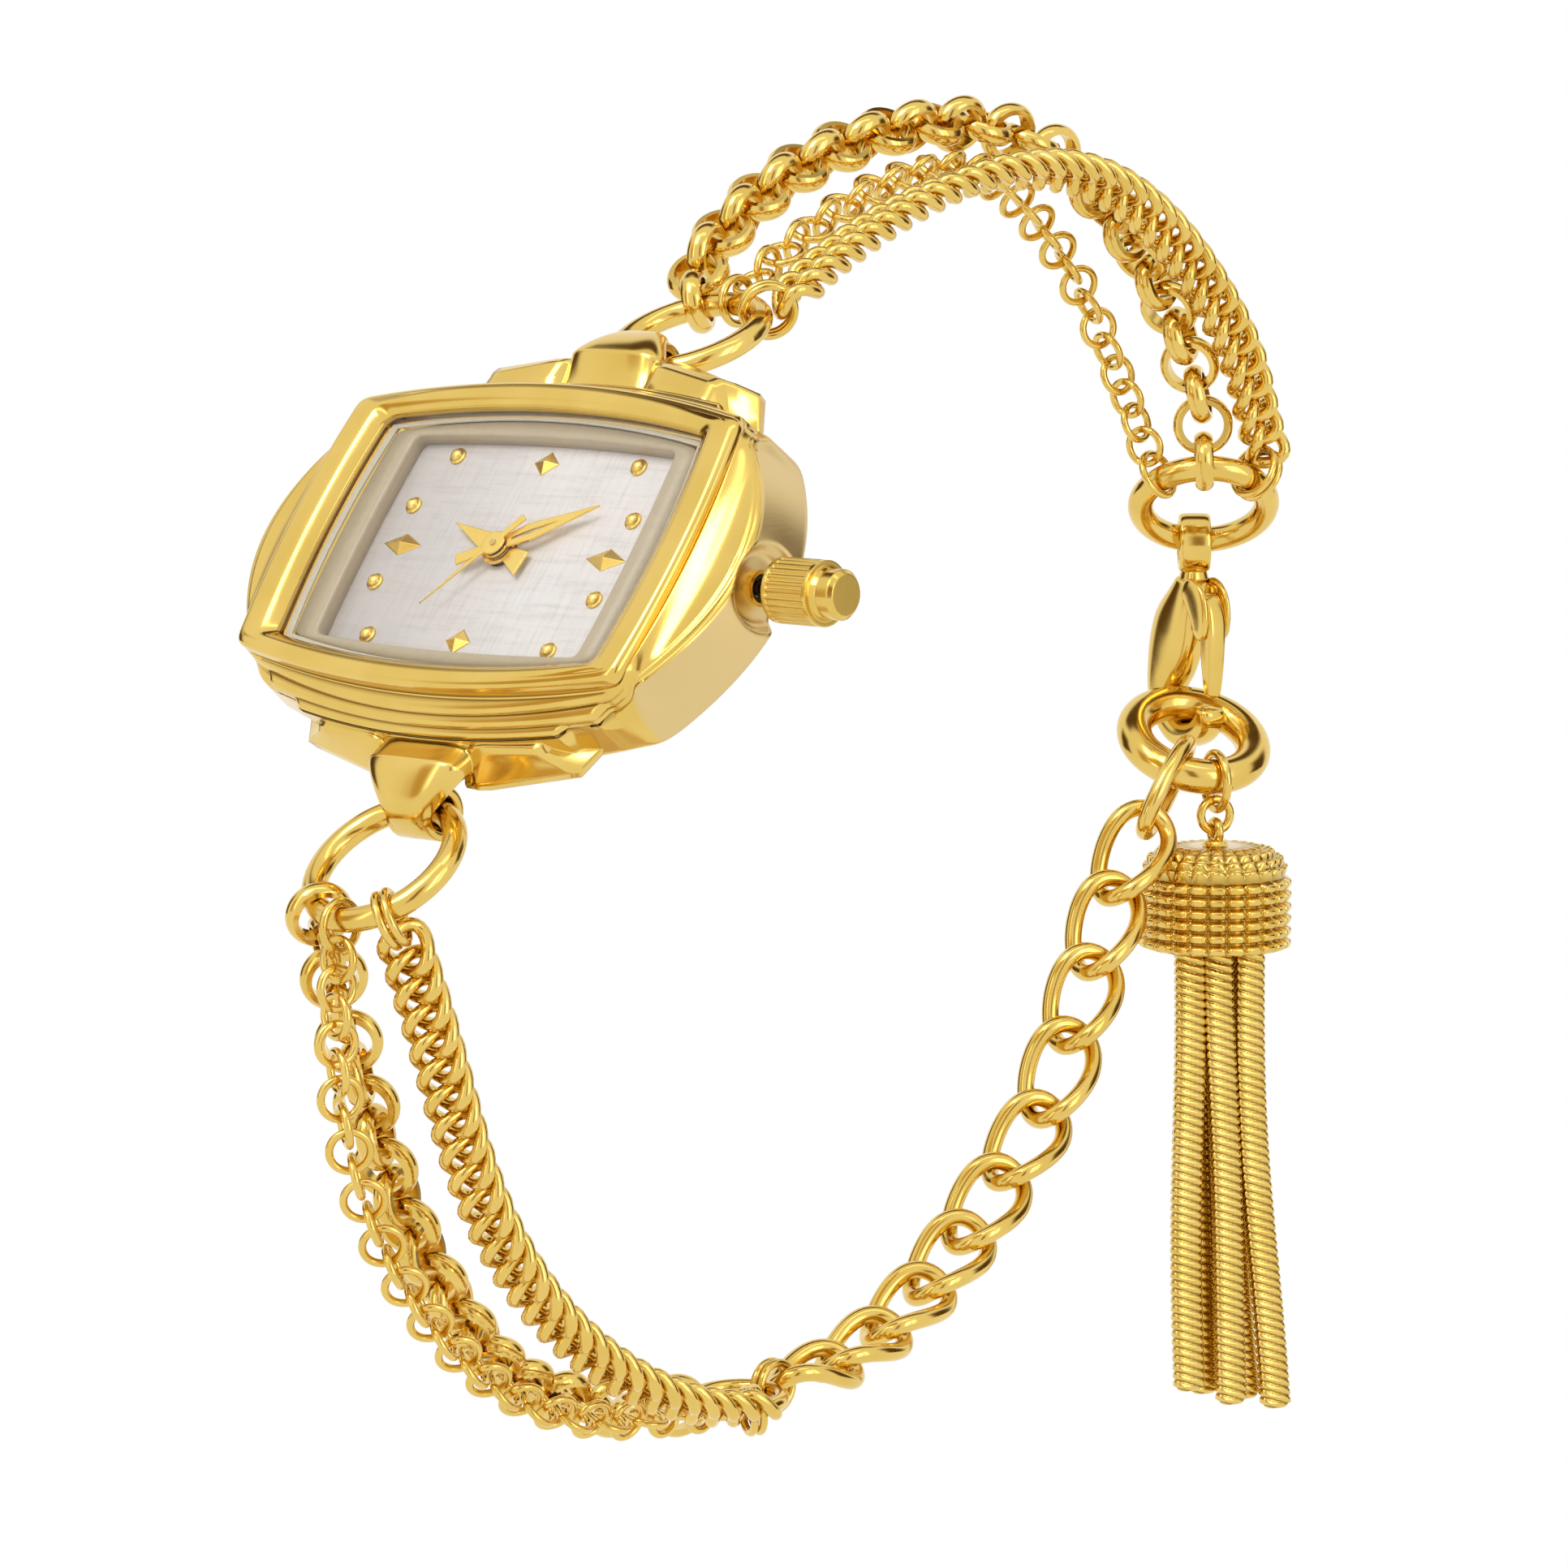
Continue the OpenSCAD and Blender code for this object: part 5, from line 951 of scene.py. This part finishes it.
hour_dots()
bezel_frame()
case_shell()
dial_surround()
curb = twisted_link(1.1, 1.0, twist=0.49, wire=0.33, steps=28, sides=12)
large = twisted_link(2.75, 1.65, twist=0.62, wire=0.46, steps=56, sides=18)
large_flat = twisted_link(2.75, 1.65, twist=0.02, wire=0.46, steps=56, sides=18)
curb_links("curb_chain_12", curb)
curb_links("curb_chain_6", curb)
curb_links("extension_upper", large, large_flat)
curb_links("extension_lower", large)
clasp_body()
clasp_lever()
tassel_cap()
tassel_strands()


# studio
def facing(place, aim):
    """Turn that points an object's Z axis from an aim to its own place."""
    return Vector(np.subtract(place, aim)).to_track_quat("Z", "Y").to_matrix()


def lamp(name, place, aim, size, power):
    """White rectangular lamp that shines at an aim."""
    data = bpy.data.lights.new(name, "AREA")
    data.shape, data.size, data.size_y = "RECTANGLE", size[0], size[1]
    data.energy = power
    placed(name, data).matrix_world = Matrix.Translation(Vector(place)) @ facing(place, aim).to_4x4()


def card(name, place, aim, size, colour):
    """Board with feathered edges, seen only in reflections: it draws bands of shade in the gold."""
    w, h = size[0] / 2, size[1] / 2
    flat = np.array([[-w, -h, 0], [w, -h, 0], [w, h, 0], [-w, h, 0]])
    g = Graph(name)
    x, y, _ = g.node("ShaderNodeSeparateXYZ", {}, g.node("ShaderNodeTexCoord", {})[2])
    cover = (x * (1.0 - x) * 6.0).clamp() * (y * (1.0 - y) * 6.0).clamp()
    clear = g.node("ShaderNodeBsdfTransparent", {})[0]
    shine = g.node("ShaderNodeEmission", {}, colour, 1.0)[0]
    obj = surface(name, flat @ np.array(facing(place, aim)).T + np.array(place), [[0, 1, 2, 3]],
                  g.feed_both(cover, clear, shine), False)
    corners = obj.data.uv_layers.new(name="corners")
    corners.data.foreach_set("uv", np.array([0, 0, 1, 0, 1, 1, 0, 1], dtype=float))
    obj.visible_camera = obj.visible_shadow = obj.visible_diffuse = False


def white_world():
    """White for the camera and for mirror and glass rays, softer light for the rest."""
    world = bpy.data.worlds.new("studio")
    bpy.context.scene.world = world
    g = Graph("studio", world)
    camera, _, _, glossy, _, _, through, *_ = g.node("ShaderNodeLightPath", {})
    g.feed(Color=(1.0, 1.0, 1.0), Strength=camera.most(glossy).most(through) * 0.45 + 0.55)


def white_floor(height):
    """Pale floor below the tassel: white to the camera and to mirrors, plain pale for light."""
    g = Graph("floor")
    camera, _, _, glossy, *_ = g.node("ShaderNodeLightPath", {})
    glow = g.node("ShaderNodeEmission", {}, (1.0, 1.0, 1.0), 1.0)[0]
    plain = g.node("ShaderNodeBsdfDiffuse", {}, (0.85, 0.85, 0.85))[0]
    pts = [[-3.0, -3.0, height], [3.0, -3.0, height], [3.0, 3.0, height], [-3.0, 3.0, height]]
    surface("floor", pts, [[0, 1, 2, 3]], g.feed_both(camera.most(glossy), plain, glow), False)


def studio():
    """White world and floor, a key lamp and a fill lamp, and the cards that the gold mirrors."""
    middle = (np.array(CAD_BOX[0]) + np.array(CAD_BOX[1])) / 2
    white_world()
    white_floor(CAD_BOX[0][2] - 0.004)
    lamp("key", middle + BACK * 0.30 + UP * 0.38 - RIGHT * 0.22, middle, (0.24, 0.24), 1.1)
    lamp("fill", middle + BACK * 0.4 + RIGHT * 0.35 + UP * 0.05, middle, (0.12, 0.4), 0.35)
    brown, tan, amber, bright = (0.10, 0.05, 0.01), (0.34, 0.20, 0.06), (0.62, 0.42, 0.16), (2.4, 2.3, 2.1)
    # each card: metres to the right, towards the camera and up, then its size and colour
    for name, right, near, up, size, colour in (
            ("board_front", 0.06, 0.36, 0.0, (0.10, 0.40), tan),
            ("board_low", 0.0, 0.02, -0.24, (0.60, 0.26), brown),
            ("board_mid", -0.34, 0.12, -0.02, (0.14, 0.5), amber),
            ("board_left", -0.3, -0.16, 0.0, (0.20, 0.5), brown),
            ("board_right", 0.3, -0.10, 0.0, (0.20, 0.5), brown),
            ("strip_left", -0.28, 0.24, 0.08, (0.06, 0.36), bright),
            ("strip_right", 0.30, 0.20, 0.06, (0.06, 0.36), bright),
            ("strip_top", 0.0, 0.16, 0.30, (0.40, 0.06), bright),
            ("board_top", 0.0, -0.12, 0.3, (0.5, 0.16), brown)):
        card(name, middle + RIGHT * right + BACK * near + UP * up, middle, size, colour)


place_camera()
studio()
bpy.context.scene.view_settings.view_transform = "Standard"
